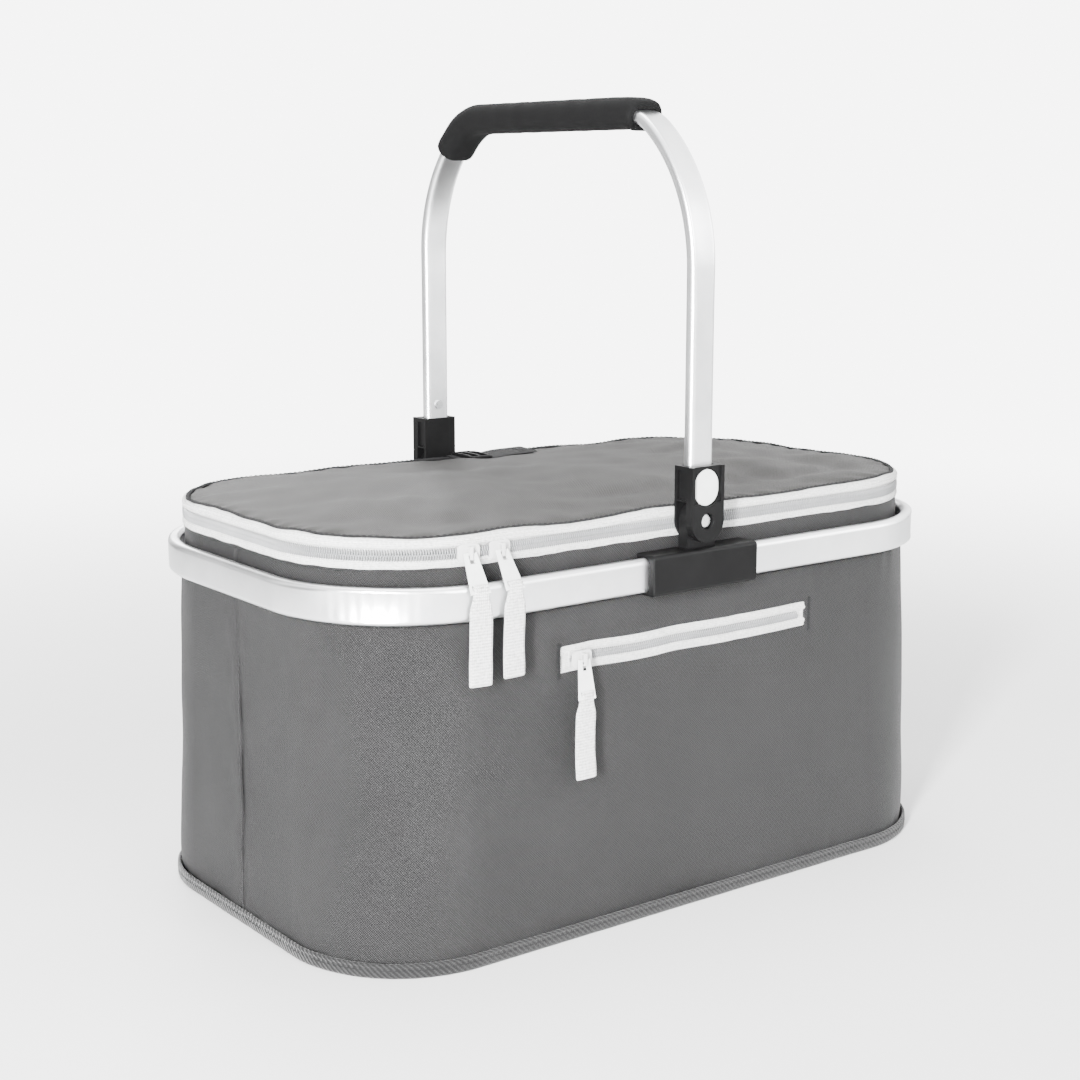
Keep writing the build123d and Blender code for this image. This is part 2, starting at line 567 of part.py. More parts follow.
CORNER_X, CORNER_Y = -(ZIP_L / 2 - ZIP_R), -(ZIP_W / 2 - ZIP_R)   # centre of the zip corner
LEFT_SLIDER_ANGLE = 8.6                         # degrees round the corner
RIGHT_SLIDER_X = -136.0
LEFT = (Location((CORNER_X, CORNER_Y, ZIP_Z), (0, 0, -LEFT_SLIDER_ANGLE))
        * Location((0, -ZIP_R, 0)))
RIGHT = Location((RIGHT_SLIDER_X, -ZIP_W / 2, ZIP_Z))

lid_tab, lid_ribbon = build_pull(lean_degrees=33.4, length=23.0, drop=69.0)
for end, place in (("left", LEFT), ("right", RIGHT)):
    save_at(f"lid_slider_{end}", place, slider_body)
    save_at(f"lid_pull_tab_{end}", place, lid_tab)
    save_at(f"lid_pull_ribbon_{end}", place, lid_ribbon)

# ---- front pocket zip ------------------------------------------------------
POCKET_ZIP_Y, POCKET_TAPE_T, POCKET_TAPE_H = -134.8, 0.8, 15.0
POCKET_CHAIN_Y, POCKET_CHAIN_DZ = -135.8, 2.0   # chain bands above and below the slot
POCKET_SLIDER_X = -86.0

with BuildPart() as pocket_zip:
    zip_centre = (POCKET_X, POCKET_ZIP_Y, POCKET_Z)
    block((POCKET_L, POCKET_TAPE_T, POCKET_TAPE_H), zip_centre)
    block((POCKET_L - 8, 4, 1.8), zip_centre, mode=CUT)
    block((POCKET_L - 4, 1.2, 2.2),
          (POCKET_X, POCKET_CHAIN_Y, POCKET_Z - POCKET_CHAIN_DZ),
          (POCKET_X, POCKET_CHAIN_Y, POCKET_Z + POCKET_CHAIN_DZ))
save("pocket_zip", pocket_zip)

POCKET = Location((POCKET_SLIDER_X, POCKET_ZIP_Y - POCKET_TAPE_T / 2, POCKET_Z))
pocket_tab, pocket_ribbon = build_pull(lean_degrees=8.0, length=22.0, drop=67.5)
save_at("pocket_zip_slider", POCKET, slider_body)
save_at("pocket_pull_tab", POCKET, pocket_tab)
save_at("pocket_pull_ribbon", POCKET, pocket_ribbon)
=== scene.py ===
"""Soft insulated basket: an oblong cloth bag on an aluminium rim, with a zipped lid, a zip
pocket in its front wall and a bow handle that rises from the middle of the front and back.

x runs along the length (left is -x), y across it (front is -y), z up from the floor at 0.
Shapes are worked out in millimetres and scaled to metres in mesh(). Material depths, the
stage and the camera are in metres. An outline is (half length, half width, corner radius).
"""
import math
from functools import partial

import bpy
import numpy as np
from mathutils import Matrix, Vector

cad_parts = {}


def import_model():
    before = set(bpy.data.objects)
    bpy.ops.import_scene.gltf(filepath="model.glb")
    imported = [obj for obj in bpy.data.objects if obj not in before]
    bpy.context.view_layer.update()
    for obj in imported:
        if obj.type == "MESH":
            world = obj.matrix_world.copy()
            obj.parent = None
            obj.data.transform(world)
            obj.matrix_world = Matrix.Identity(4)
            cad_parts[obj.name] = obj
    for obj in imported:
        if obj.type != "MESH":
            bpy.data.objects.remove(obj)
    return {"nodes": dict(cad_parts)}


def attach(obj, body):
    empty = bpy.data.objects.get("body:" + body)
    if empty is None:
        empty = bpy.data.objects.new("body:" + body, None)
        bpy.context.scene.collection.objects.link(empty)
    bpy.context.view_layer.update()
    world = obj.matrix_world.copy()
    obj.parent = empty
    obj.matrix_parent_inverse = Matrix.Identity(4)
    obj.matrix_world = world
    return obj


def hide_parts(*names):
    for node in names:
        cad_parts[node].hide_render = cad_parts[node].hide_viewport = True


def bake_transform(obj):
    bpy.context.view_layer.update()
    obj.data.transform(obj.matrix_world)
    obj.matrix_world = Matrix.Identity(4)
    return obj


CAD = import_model()["nodes"]
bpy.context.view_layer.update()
MM = 0.001
ROOT, LID = "frame_and_bag", "lid"
X_AXIS, Y_AXIS, UP = np.eye(3)
FRONT = -Y_AXIS


# ------------------------------------------------------------------ number helpers
def waves(points, wavelength, seed, count=10):
    """Smooth repeatable noise of about -1..1 over points of any dimension."""
    draw = np.random.default_rng(seed)
    points = np.asarray(points, float)
    if points.ndim == 1:
        points = points[:, None]
    total = np.zeros(len(points))
    for _ in range(count):
        way = draw.normal(size=points.shape[1])
        way /= np.linalg.norm(way)
        rate = 2 * math.pi / wavelength * draw.uniform(0.6, 1.5)
        total += np.sin(rate * (points @ way) + draw.uniform(0, 6.28))
    return total / math.sqrt(count)


def smoothstep(start, end, x):
    t = np.clip((x - start) / (end - start), 0, 1)
    return t * t * (3 - 2 * t)


def bell(x, width):
    return np.exp(-(x / width) ** 2)


def lift(xy, z):
    """Add a z column, one value or one per row."""
    return np.column_stack([xy, np.broadcast_to(z, len(xy))])


def unit(vector):
    return vector / np.linalg.norm(vector)


def run_length(points):
    """Distance travelled along a polyline at each of its points."""
    steps = np.linalg.norm(np.diff(points, axis=0), axis=1)
    return np.concatenate([[0], np.cumsum(steps)])


def sample(s, run, values):
    """Three-column values at distance s along a polyline."""
    return np.stack([np.interp(s, run, values[:, k]) for k in range(3)], axis=-1)


def thread_frame(s, run, points, normals, ahead):
    """Place, direction of travel, face normal and sideways direction at distance s."""
    place = sample(s, run, points)
    travel = unit(sample(s + ahead, run, points) - place)
    normal = unit(sample(s, run, normals))
    return place, travel, normal, np.cross(travel, normal)


# ------------------------------------------------------------------ outlines and rings
def rounded_loop(half_x, half_y, radius, count):
    """Points evenly round a rounded rectangle, with outward normals and arc lengths.

    Starts at the middle of the back and runs anticlockwise seen from above.
    """
    a, b = half_x - radius, half_y - radius
    # a line has its two ends; an arc has its centre and its start angle in degrees
    parts = [
        ("line", (0, half_y), (-a, half_y)), ("arc", (-a, b), 90),
        ("line", (-half_x, b), (-half_x, -b)), ("arc", (-a, -b), 180),
        ("line", (-a, -half_y), (a, -half_y)), ("arc", (a, -b), 270),
        ("line", (half_x, -b), (half_x, b)), ("arc", (a, b), 0),
        ("line", (a, half_y), (0, half_y)),
    ]
    lengths = [math.dist(p[1], p[2]) if p[0] == "line" else math.pi / 2 * radius for p in parts]
    edges = np.concatenate([[0], np.cumsum(lengths)])
    arc = np.arange(count) * sum(lengths) / count
    points, outward = np.zeros((count, 2)), np.zeros((count, 2))
    for k, s in enumerate(arc):
        i = np.searchsorted(edges, s, side="right") - 1
        t = (s - edges[i]) / lengths[i]
        kind, start, end = parts[i]
        if kind == "line":
            way = unit(np.array(end, float) - np.array(start, float))
            outward[k] = way[1], -way[0]
            points[k] = np.array(start) * (1 - t) + np.array(end) * t
        else:
            angle = math.radians(end + 90 * t)
            outward[k] = math.cos(angle), math.sin(angle)
            points[k] = start + radius * outward[k]
    return points, outward, arc


def rounded_ring(width, height, radius, steps):
    """Section of a bar: a rounded rectangle of (side, up) points."""
    a, b = width / 2 - radius, height / 2 - radius
    ring = []
    for x, y, start in ((a, b, 0), (-a, b, 90), (-a, -b, 180), (a, -b, 270)):
        for k in range(steps + 1):
            angle = math.radians(start + 90 * k / steps)
            ring.append((x + radius * math.cos(angle), y + radius * math.sin(angle)))
    return np.array(ring)


def shifted(ring, side, up):
    """One copy of the ring per path point, moved by side and up."""
    return ring + np.stack(np.broadcast_arrays(side, up), -1)[:, None]


def bent_rings(ring, outer, half_face, dent, bend):
    """Rings of a bent tube: the wall on the outer axis sinks by dent, the sides spread."""
    across = 1 - outer
    sink = np.clip(1 - (np.abs(ring[:, across]) / half_face) ** 2, 0, 1)
    sink = np.where(ring[:, outer] > 0, sink, 0)
    rings = np.repeat(ring[None], len(bend), axis=0)
    rings[:, :, outer] -= dent[:, None] * sink
    rings[:, :, across] *= 1 + 0.03 * bend[:, None]
    return rings


# ------------------------------------------------------------------ mesh helpers
def mesh(name, verts, faces, material, body=None, uv=None, replaces=(), slot=None):
    """Smooth-shaded object from vertices and UVs in mm."""
    data = bpy.data.meshes.new(name)
    verts = np.asarray(verts) * MM
    data.from_pydata([tuple(map(float, v)) for v in verts], [],
                     [tuple(map(int, f)) for f in faces])
    data.validate()
    if uv is not None:
        layer = data.uv_layers.new(name="UVMap")
        index = np.zeros(len(data.loops), np.int32)
        data.loops.foreach_get("vertex_index", index)
        layer.data.foreach_set("uv", np.asarray(uv * MM, np.float32)[index].ravel())
    data.polygons.foreach_set("use_smooth", [True] * len(data.polygons))
    obj = bpy.data.objects.new(name, data)
    bpy.context.collection.objects.link(obj)
    data.materials.append(material)
    if body:
        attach(obj, body)
    if replaces:
        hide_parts(*replaces)
    return obj


def thicken(obj, thickness, offset=-1):
    solid = obj.modifiers.new("thick", "SOLIDIFY")
    solid.thickness, solid.offset = thickness * MM, offset


def grid_faces(rows, cols, wrap=False, closed=False, start=0):
    """Quads over a grid; wrap joins last column to first, closed joins last row to first."""
    faces = []
    for i in range(rows if closed else rows - 1):
        a, b = start + i * cols, start + (i + 1) % rows * cols
        for j in range(cols if wrap else cols - 1):
            k = (j + 1) % cols
            faces.append((a + j, a + k, b + k, b + j))
    return faces


def end_caps(rows, cols, start=0):
    last = start + (rows - 1) * cols
    return [tuple(range(start, start + cols))[::-1], tuple(range(last, last + cols))]


def ring_verts(path, side, up, rings):
    verts = path[:, None] + rings[..., :1] * side[:, None] + rings[..., 1:] * up[:, None]
    return verts.reshape(-1, 3)


def sweep(name, path, side, up, rings, material, body=ROOT, closed=False, **links):
    """Carry one ring of (side, up) offsets, or one per point, along a path."""
    side, up = np.broadcast_to(side, path.shape), np.broadcast_to(up, path.shape)
    rings = np.broadcast_to(rings, (len(path), *rings.shape[-2:]))
    rows, cols = rings.shape[:2]
    uv = np.array([(u, v) for u in run_length(path) for v in run_length(rings[0])])
    faces = grid_faces(rows, cols, wrap=True, closed=closed)
    if not closed:
        faces += end_caps(rows, cols)
    return mesh(name, ring_verts(path, side, up, rings), faces, material, body, uv, **links)


def loft(name, heights, outline, push, count, material, thickness, replaces, slot):
    """Wall of rounded loops: outline(z) sizes each, push(...) moves it along its normals."""
    verts, uv = [], []
    for z in heights:
        points, outward, arc = rounded_loop(*outline(z), count)
        points = points + outward * push(points, outward, arc, z)[:, None]
        verts.append(lift(points, z))
        uv.append(lift(arc, z))
    faces = grid_faces(len(heights), count, wrap=True)
    obj = mesh(name, np.concatenate(verts), faces, material, ROOT, np.concatenate(uv),
               replaces, slot)
    thicken(obj, thickness)


def plate(name, outline, top, bottom, material, body, replaces, slot, rings=26, count=360):
    """Closed soft sheet: top(xy) and bottom(xy) give its two faces' heights."""
    loop = rounded_loop(*outline, count)[0]
    # rings crowd towards the edge
    scales = 1 - (1 - np.linspace(0, 1, rings)) ** 1.8
    xy = np.concatenate([np.zeros((1, 2))] + [loop * t for t in scales[1:]])
    verts = np.concatenate([lift(xy, top(xy)), lift(xy, bottom(xy))])
    pairs = [(j, (j + 1) % count) for j in range(count)]
    upper = [(0, 1 + j, 1 + k) for j, k in pairs]
    for i in range(rings - 2):
        a = 1 + i * count
        upper += [(a + j, a + count + j, a + count + k, a + k) for j, k in pairs]
    lower = [tuple(v + len(xy) for v in face)[::-1] for face in upper]
    a = 1 + (rings - 2) * count
    b = a + len(xy)
    rim = [(a + j, b + j, b + k, a + k) for j, k in pairs]
    mesh(name, verts, upper + lower + rim, material, body, verts[:, :2], replaces, slot)


# place along the stitch as a share of its length, radius factor, raise in mm
STITCH = ((-0.5, 0.35, -0.22), (-0.36, 0.9, 0.03), (0, 1.0, 0.12), (0.36, 0.9, 0.03),
          (0.5, 0.35, -0.22))


def stitch_row(name, points, normals, material, body=ROOT, pitch=3.4, length=2.5,
               radius=0.28, raised=0.1):
    """Row of thread stitches along a polyline."""
    points = np.asarray(points, float)
    normals = np.broadcast_to(normals, points.shape)
    run = run_length(points)
    verts, faces = [], []
    s = pitch / 2
    while s < run[-1] - pitch / 2:
        place, travel, normal, side = thread_frame(s, run, points, normals, ahead=0.3)
        start = len(verts)
        for t, swell, dip in STITCH:
            centre = place + travel * t * length + normal * (raised + dip)
            for k in range(6):
                angle = k * math.pi / 3
                spoke = side * math.cos(angle) + normal * math.sin(angle)
                verts.append(centre + spoke * radius * swell)
        faces += grid_faces(len(STITCH), 6, wrap=True, start=start)
        faces += [cap[::-1] for cap in end_caps(len(STITCH), 6, start)]
        s += pitch
    mesh(name, verts, faces, material, body)


# share of the way from the loop's outer end to the zip's centre line, raise in mm, radius factor
COIL_LOOP = ((-0.2, -0.35, 0.7), (0.25, 0.35, 1.0), (0.75, 0.45, 1.0), (1.0, 0.1, 1.05),
             (1.08, -0.35, 0.7))


def zip_coil(name, path, normals, body, side, reach):
    """Row of rounded zip loops, above the centre line (side 1) or below it (side -1)."""
    pitch, radius, raised, overlap = 1.45, 0.5, 0.7, 0.35
    normals = np.broadcast_to(normals, path.shape)
    run = run_length(path)
    verts, faces = [], []
    # the two sides are half a pitch apart, so their loops interlock
    s = pitch * (0.25 if side < 0 else 0.75)
    while s < run[-1]:
        place, travel, normal, away = thread_frame(s, run, path, normals, ahead=0.2)
        if away @ UP < 0:
            away = -away
        start = len(verts)
        for t, height, swell in COIL_LOOP:
            centre = place + away * side * ((1 - t) * reach - overlap)
            centre = centre + normal * (raised + height)
            for k in range(5):
                angle = k * 2 * math.pi / 5
                spoke = travel * math.cos(angle) + normal * math.sin(angle)
                verts.append(centre + spoke * radius * swell)
        faces += grid_faces(len(COIL_LOOP), 5, wrap=True, start=start)
        s += pitch
    # the loops take the coil colour that is darkened as painted shade of the groove
    mesh(name, verts, faces, COIL_PAINTED_SHADE, body, slot="white_zip")


def webbing(name, points, widths, side, normals, thickness, material, body, replaces, slot):
    """Flat tape with thin edges, from centre points, widths, side direction and face normals."""
    cols = 13
    normals = np.broadcast_to(normals, points.shape)
    run = run_length(points)
    verts, uv = [], []
    for i, point in enumerate(points):
        for face in (1, -1):
            across = np.linspace(-1, 1, cols) * face
            offset = across * widths[i] / 2
            half_thickness = thickness / 2 * (1 - np.abs(across) ** 8 * 0.55)
            verts.append(point + side * offset[:, None]
                         + normals[i] * (face * half_thickness)[:, None])
            uv.append(lift(offset, run[i]))
    rows, ring = len(points), cols * 2
    faces = grid_faces(rows, ring, wrap=True) + end_caps(rows, ring)
    mesh(name, np.concatenate(verts), faces, material, body, np.concatenate(uv), replaces, slot)


# ------------------------------------------------------------------ materials
def math_node(tree, operation, *values):
    node = tree.nodes.new("ShaderNodeMath")
    node.operation = operation
    for socket, value in zip(node.inputs, values):
        if isinstance(value, (int, float)):
            socket.default_value = value
        else:
            tree.links.new(value, socket)
    return node.outputs[0]


class Material:
    """A Principled material with short helpers for its texture nodes."""

    def __init__(self, name, color, rough, metal=0.0, specular=0.5):
        self.data = bpy.data.materials.new(name)
        self.data.use_nodes = True
        self.tree = self.data.node_tree
        self.shader = self.tree.nodes["Principled BSDF"]
        self.set("Base Color", (*color, 1))
        self.set("Roughness", rough)
        self.set("Metallic", metal)
        self.set("Specular IOR Level", specular)
        self.link = self.tree.links.new
        self.math = partial(math_node, self.tree)
        self.add = partial(self.math, "ADD")
        self.mul = partial(self.math, "MULTIPLY")

    def set(self, name, value):
        self.shader.inputs[name].default_value = value

    def node(self, kind, **settings):
        node = self.tree.nodes.new("ShaderNode" + kind)
        for key, value in settings.items():
            setattr(node, key, value)
        return node

    def object_coords(self):
        return self.node("TexCoord").outputs["Object"]

    def noise(self, scale, detail, rough=0.5, vector=None):
        node = self.node("TexNoise")
        node.inputs["Scale"].default_value = scale
        node.inputs["Detail"].default_value = detail
        node.inputs["Roughness"].default_value = rough
        self.link(vector or self.object_coords(), node.inputs["Vector"])
        return node.outputs["Fac"]

    def uv(self):
        coords, split = self.node("TexCoord"), self.node("SeparateXYZ")
        self.link(coords.outputs["UV"], split.inputs[0])
        return split.outputs[0], split.outputs[1]

    def color_by(self, value, stops):
        """Colour ramp with stops of (position, colour)."""
        ramp = self.node("ValToRGB")
        elements = ramp.color_ramp.elements
        while len(elements) < len(stops):
            elements.new(0.5)
        for element, (position, color) in zip(elements, stops):
            element.position = position
            element.color = (*color, 1)
        self.link(value, ramp.inputs[0])
        self.link(ramp.outputs[0], self.shader.inputs["Base Color"])

    def shade_by(self, value, color, stops):
        """Colour ramp with stops of (position, brightness factor)."""
        self.color_by(value, [(p, tuple(min(1.0, c * k) for c in color)) for p, k in stops])

    def rough_by(self, value, low, high):
        node = self.node("MapRange")
        node.inputs["To Min"].default_value = low
        node.inputs["To Max"].default_value = high
        self.link(value, node.inputs["Value"])
        self.link(node.outputs[0], self.shader.inputs["Roughness"])

    def bump(self, height, depth, strength=1.0):
        node = self.node("Bump")
        node.inputs["Distance"].default_value = depth
        node.inputs["Strength"].default_value = strength
        self.link(height, node.inputs["Height"])
        self.link(node.outputs[0], self.shader.inputs["Normal"])


def fabric(name, color, pitch=1.4, contrast=0.75, sheen=0.0, rough=0.44, twill=0.14):
    """Woven cloth: warp and weft with a diagonal step, mottling and slight fading."""
    m = Material(name, color, rough, specular=0.15)
    m.set("Sheen Weight", sheen)
    m.set("Sheen Roughness", 0.5)
    u, v = m.uv()
    rate = 2 * math.pi / (pitch * MM)
    warp = m.math("SINE", m.mul(u, rate))
    weft = m.math("SINE", m.mul(v, rate))
    diagonal = m.math("SINE", m.mul(m.add(u, v), rate * 0.5))
    weave = m.add(m.mul(m.mul(warp, weft), 1 - twill), m.mul(diagonal, twill))
    slub = m.noise(scale=900, detail=2)
    mottle = m.noise(scale=9, detail=4, rough=0.6)
    height = m.add(m.mul(weave, 0.5), slub)
    # the weave's contrast over equal parts of slub and mottle
    tone = m.add(m.mul(weave, contrast), m.add(m.mul(slub, 0.5), m.mul(mottle, 0.5)))
    m.shade_by(tone, color, [(0.15, 0.3), (0.5, 1), (0.9, 2.3)])
    m.rough_by(mottle, low=rough - 0.08, high=rough + 0.1)
    m.bump(height, depth=0.0005)
    return m.data


def ribbed(name, color, pitch=0.5, depth=0.0001, along=False):
    """Narrow woven tape with ribs and a herringbone grain."""
    m = Material(name, color, rough=0.75, specular=0.2)
    u, v = m.uv()
    if along:
        u, v = v, u
    rate = 2 * math.pi / (pitch * MM)
    zig_shift, zig_rate = 0.0006, 1.4  # sideways step of the grain in m, rate against the ribs
    rib = m.math("SINE", m.mul(u, rate))
    slant = m.add(v, m.mul(m.math("ABSOLUTE", rib), zig_shift))
    zig = m.math("SINE", m.mul(slant, rate * zig_rate))
    height = m.add(m.mul(rib, 0.6), m.mul(zig, 0.4))
    fuzz = m.noise(scale=700, detail=2)
    tone = m.add(m.mul(height, 0.22), m.mul(fuzz, 1.0))
    m.shade_by(tone, color, [(0.15, 0.62), (0.5, 1), (0.9, 1.25)])
    m.bump(m.add(height, fuzz), depth)
    return m.data


def aluminium():
    m = Material("anodised_aluminium", (0.80, 0.81, 0.82), rough=0.3, metal=1.0)
    coords, mapping = m.object_coords(), m.node("Mapping")
    mapping.inputs["Scale"].default_value = (1, 1, 9)
    m.link(coords, mapping.inputs[0])
    cloud = m.noise(scale=22, detail=5, rough=0.65)
    grain = m.noise(scale=500, detail=4, rough=0.7, vector=mapping.outputs[0])
    m.color_by(cloud, [(0.3, (0.70, 0.71, 0.72)), (0.7, (0.86, 0.865, 0.87))])
    m.rough_by(m.add(m.mul(cloud, 0.5), m.mul(grain, 0.5)), low=0.2, high=0.42)
    m.bump(grain, depth=0.00003)
    return m.data


def plastic(name, color, rough, grain_depth=0.00004, subsurface=0.0, specular=0.4):
    m = Material(name, color, rough, specular=specular)
    if subsurface:
        m.set("Subsurface Weight", subsurface)
        m.set("Subsurface Radius", (0.002, 0.002, 0.002))
    grain = m.noise(scale=1600, detail=2)
    cloud = m.noise(scale=45, detail=4, rough=0.6)
    m.shade_by(cloud, color, [(0.25, 0.85), (0.75, 1.15)])
    m.rough_by(cloud, low=rough - 0.08, high=rough + 0.12)
    m.bump(grain, grain_depth)
    return m.data


def steel():
    m = Material("steel", (0.62, 0.63, 0.64), rough=0.3, metal=1.0)
    grain = m.noise(scale=400, detail=3)
    m.rough_by(grain, low=0.18, high=0.4)
    m.bump(grain, depth=0.00004)
    return m.data


def foam(name, color, pores=900, depth=0.0002):
    m = Material(name, color, rough=0.9, specular=0.12)
    cells = m.node("TexVoronoi")
    cells.inputs["Scale"].default_value = pores
    m.link(m.object_coords(), cells.inputs["Vector"])
    cloud = m.noise(scale=60, detail=4)
    m.shade_by(cloud, color, [(0.25, 0.75), (0.75, 1.25)])
    m.rough_by(cloud, low=0.78, high=0.95)
    m.bump(m.add(cells.outputs["Distance"], m.mul(cloud, 0.6)), depth)
    return m.data


def foil():
    m = Material("silver_liner", (0.74, 0.75, 0.76), rough=0.36, metal=0.85)
    crumple = m.noise(scale=38, detail=6, rough=0.65)
    grain = m.noise(scale=900, detail=2)
    m.color_by(crumple, [(0.3, (0.62, 0.63, 0.645)), (0.7, (0.82, 0.83, 0.84))])
    m.rough_by(crumple, low=0.26, high=0.5)
    m.bump(m.add(crumple, m.mul(grain, 0.03)), depth=0.0035, strength=0.6)
    return m.data


GREY = fabric("grey_fabric", (0.0112, 0.0111, 0.0113))
LID_FABRIC = fabric("lid_fabric", (0.0165, 0.0158, 0.0149))
FOOT = fabric("foot_binding", (0.0085, 0.0085, 0.0087), pitch=1.7, contrast=0.45, sheen=0.15,
              rough=0.7, twill=0.7)
BINDING = ribbed("dark_binding", (0.0075, 0.0075, 0.008), pitch=1.1, depth=0.0002)
ZIP_TAPE = ribbed("white_zip", (0.66, 0.66, 0.65), pitch=1.0, depth=0.00018, along=True)
WHITE_WEB = ribbed("white_webbing", (0.84, 0.84, 0.83), pitch=1.7, depth=0.0007, along=True)
BLACK_WEB = ribbed("black_webbing", (0.005, 0.005, 0.0055), pitch=1.8, depth=0.0007, along=True)
ALUMINIUM = aluminium()
STEEL = steel()
FOIL = foil()
BLACK = plastic("black_plastic", (0.0042, 0.0042, 0.0043), rough=0.34, specular=0.055)
WHITE = plastic("white_plastic", (0.60, 0.61, 0.60), rough=0.3, subsurface=0.08)
WHITE_METAL = plastic("white_metal", (0.50, 0.50, 0.495), rough=0.25, grain_depth=0.00002)
GRIP = foam("grip_foam", (0.0012, 0.0012, 0.0013), pores=1500, depth=0.00012)
# the zip coil is white like its tape; its colour is darkened to mid grey as painted shade in the
# zip's groove
COIL_PAINTED_SHADE = plastic("white_coil_painted_shade", (0.17, 0.173, 0.176), rough=0.32, grain_depth=0.00001)
FOAM = foam("foam", (0.78, 0.79, 0.80))
THREAD_GREY = ribbed("thread_grey", (0.024, 0.024, 0.0245))
THREAD_DARK = ribbed("thread_dark", (0.006, 0.006, 0.0065))
THREAD_WHITE = ribbed("thread_white", (0.80, 0.80, 0.79))
THREAD_BLACK = ribbed("thread_black", (0.012, 0.012, 0.012))

# ------------------------------------------------------------------ CAD pieces kept
# material, bevel width in mm, pieces
KEPT = (
    (BLACK, 0.5, ("rim_coupling_front", "rim_coupling_rear", "handle_socket_front",
                  "handle_socket_rear", "hinge_bracket_front", "hinge_bracket_rear")),
    (STEEL, 0.15, ("coupling_screws", "collar_rivets", "handle_rivets", "pivot_pin_front",
                   "pivot_pin_rear", "latch_spring_front", "latch_spring_rear")),
    (WHITE, 0.3, ("lock_button_front", "lock_button_rear", "lid_pull_tab_left",
                  "lid_pull_tab_right", "pocket_pull_tab", "base_board")),
    (WHITE_METAL, 0.35, ("lid_slider_left", "lid_slider_right", "pocket_zip_slider")),
)
for material, width, names in KEPT:
    for name in names:
        piece = CAD[name]
        piece.data.materials.clear()
        piece.data.materials.append(material)
        bevel = piece.modifiers.new("edge", "BEVEL")
        bevel.width, bevel.segments = width * MM, 2
        bevel.limit_method, bevel.angle_limit = "ANGLE", math.radians(38)
        bevel.harden_normals = False
        piece.modifiers.new("normals", "WEIGHTED_NORMAL").keep_sharp = True

# ------------------------------------------------------------------ bag walls
WALL_Z = (8.2, 194.0)
WALL_FOOT, WALL_TOP = (230.4, 136.4, 74), (228.0, 133.0, 82)
LINER_Z = (9.6, 225)
LINER_FOOT, LINER_TOP = (224.0, 130.0, 67.5), (221.2, 125.2, 77.5)
COLLAR = (226.4, 129.1, 84)
POCKET_LEFT, POCKET_RIGHT, POCKET_Z = -97.0, 91.0, 165.0
WALL_COUNT = 1400


def tapered(z, heights, foot, top):
    t = (z - heights[0]) / (heights[1] - heights[0])
    return np.array(foot) + (np.array(top) - foot) * t


def wall_outline(z, inset=0.0):
    return tapered(z, WALL_Z, WALL_FOOT, WALL_TOP) - inset


def pocket_middle(x):
    """Height of the pocket zip's centre line."""
    return POCKET_Z + 0.35 * waves(x, 90, seed=161)


def wall_swell(points, outward, arc, z):
    """Swell of the wall cloth, without the pocket window."""
    x, y = points.T
    place = lift(points, z)
    swell = 0.75 * waves(place, 150, seed=3) + 0.32 * waves(place, 55, seed=4)
    # the straight sides sink in at mid height
    straight = smoothstep(0.6, 1.0, np.abs(outward).max(1))
    rise = (z - WALL_Z[0]) / (WALL_Z[1] - WALL_Z[0])
    swell -= 1.1 * straight * math.sin(math.pi * rise)
    # gathers under the rim and over the binding, where the cloth pulls in
    top, foot = math.exp(-(WALL_Z[1] - z) / 11), math.exp(-(z - WALL_Z[0]) / 7)
    gathers = np.sin(arc / 6.3 + 2.2 * waves(arc, 90, seed=5))
    gathers = gathers * (0.6 + 0.4 * waves(arc, 45, seed=6))
    swell += 0.42 * top * gathers + 0.3 * foot * np.roll(gathers, 37)
    swell -= 0.9 * foot + 0.5 * top
    # round the pocket opening: slack cloth, a stitched groove and small puckers
    front = outward[:, 1] < -0.99
    beside = np.maximum(np.maximum(POCKET_LEFT - 4 - x, x - POCKET_RIGHT - 4), 0)
    gap = np.hypot(beside, max(abs(z - POCKET_Z) - 10.5, 0))
    puckers = np.sin(x / 7.5 + 1.2 * waves(x, 60, seed=8)) * np.exp(-gap / 9)
    swell += front * (1.3 * bell(gap, 16.0) - 0.45 * bell(gap + 1.2, 1.6) + 0.30 * puckers)
    ends = bell(x - POCKET_LEFT, 9) + bell(x - POCKET_RIGHT, 9)
    swell -= front * 0.5 * ends * bell(z - POCKET_Z, 16)
    # seams at the middle of the short sides pull in, with ripples beside them
    short = np.abs(outward[:, 0]) > 0.99
    swell -= 0.75 * bell(y, 3.2) * short
    return swell + 0.3 * bell(np.abs(y) - 7, 4.5) * short * np.sin(z / 6.5)


def wall_push(points, outward, arc, z):
    """Wall swell with the pocket window pressed in."""
    x, depth = points[:, 0], 1.9
    beside = np.maximum(np.maximum(POCKET_LEFT - x, x - POCKET_RIGHT), 0)
    window = 1 - smoothstep(7.0, 7.9, np.abs(z - pocket_middle(x)))
    window = window * (1 - smoothstep(0.0, 1.0, beside))
    return wall_swell(points, outward, arc, z) - (outward[:, 1] < -0.99) * depth * window


def front_y(x, z):
    """y of the front wall's outer face, without the pocket window."""
    z = np.round(np.broadcast_to(z, x.shape), 3)
    y = np.zeros(len(x))
    for height in np.unique(z):
        here = z == height
        half_width = wall_outline(height)[1]
        points = lift(x[here], -half_width)
        outward = np.tile([0.0, -1.0], (len(points), 1))
        # the arc place that the gathers are read at
        arc = np.full(len(points), 600.0)
        y[here] = -half_width - wall_swell(points, outward, arc, height)
    return y


def collar_push(points, outward, arc, z):
    gathers = np.sin(arc / 5.1 + 2 * waves(arc, 70, seed=15))
    gathers = gathers * (0.6 + 0.5 * waves(arc, 50, seed=16))
    seam = bell(points[:, 1], 2.0) * (np.abs(outward[:, 0]) > 0.99)
    return (0.3 * gathers * math.exp(-abs(z - 219) / 6) - 0.6 * smoothstep(219, 227, z)
            + 0.15 * waves(points, 40, seed=17) - 0.6 * seam)


def foam_push(points, outward, arc, z):
    return -0.35 + 0.25 * waves(lift(points, z), 90, seed=21)


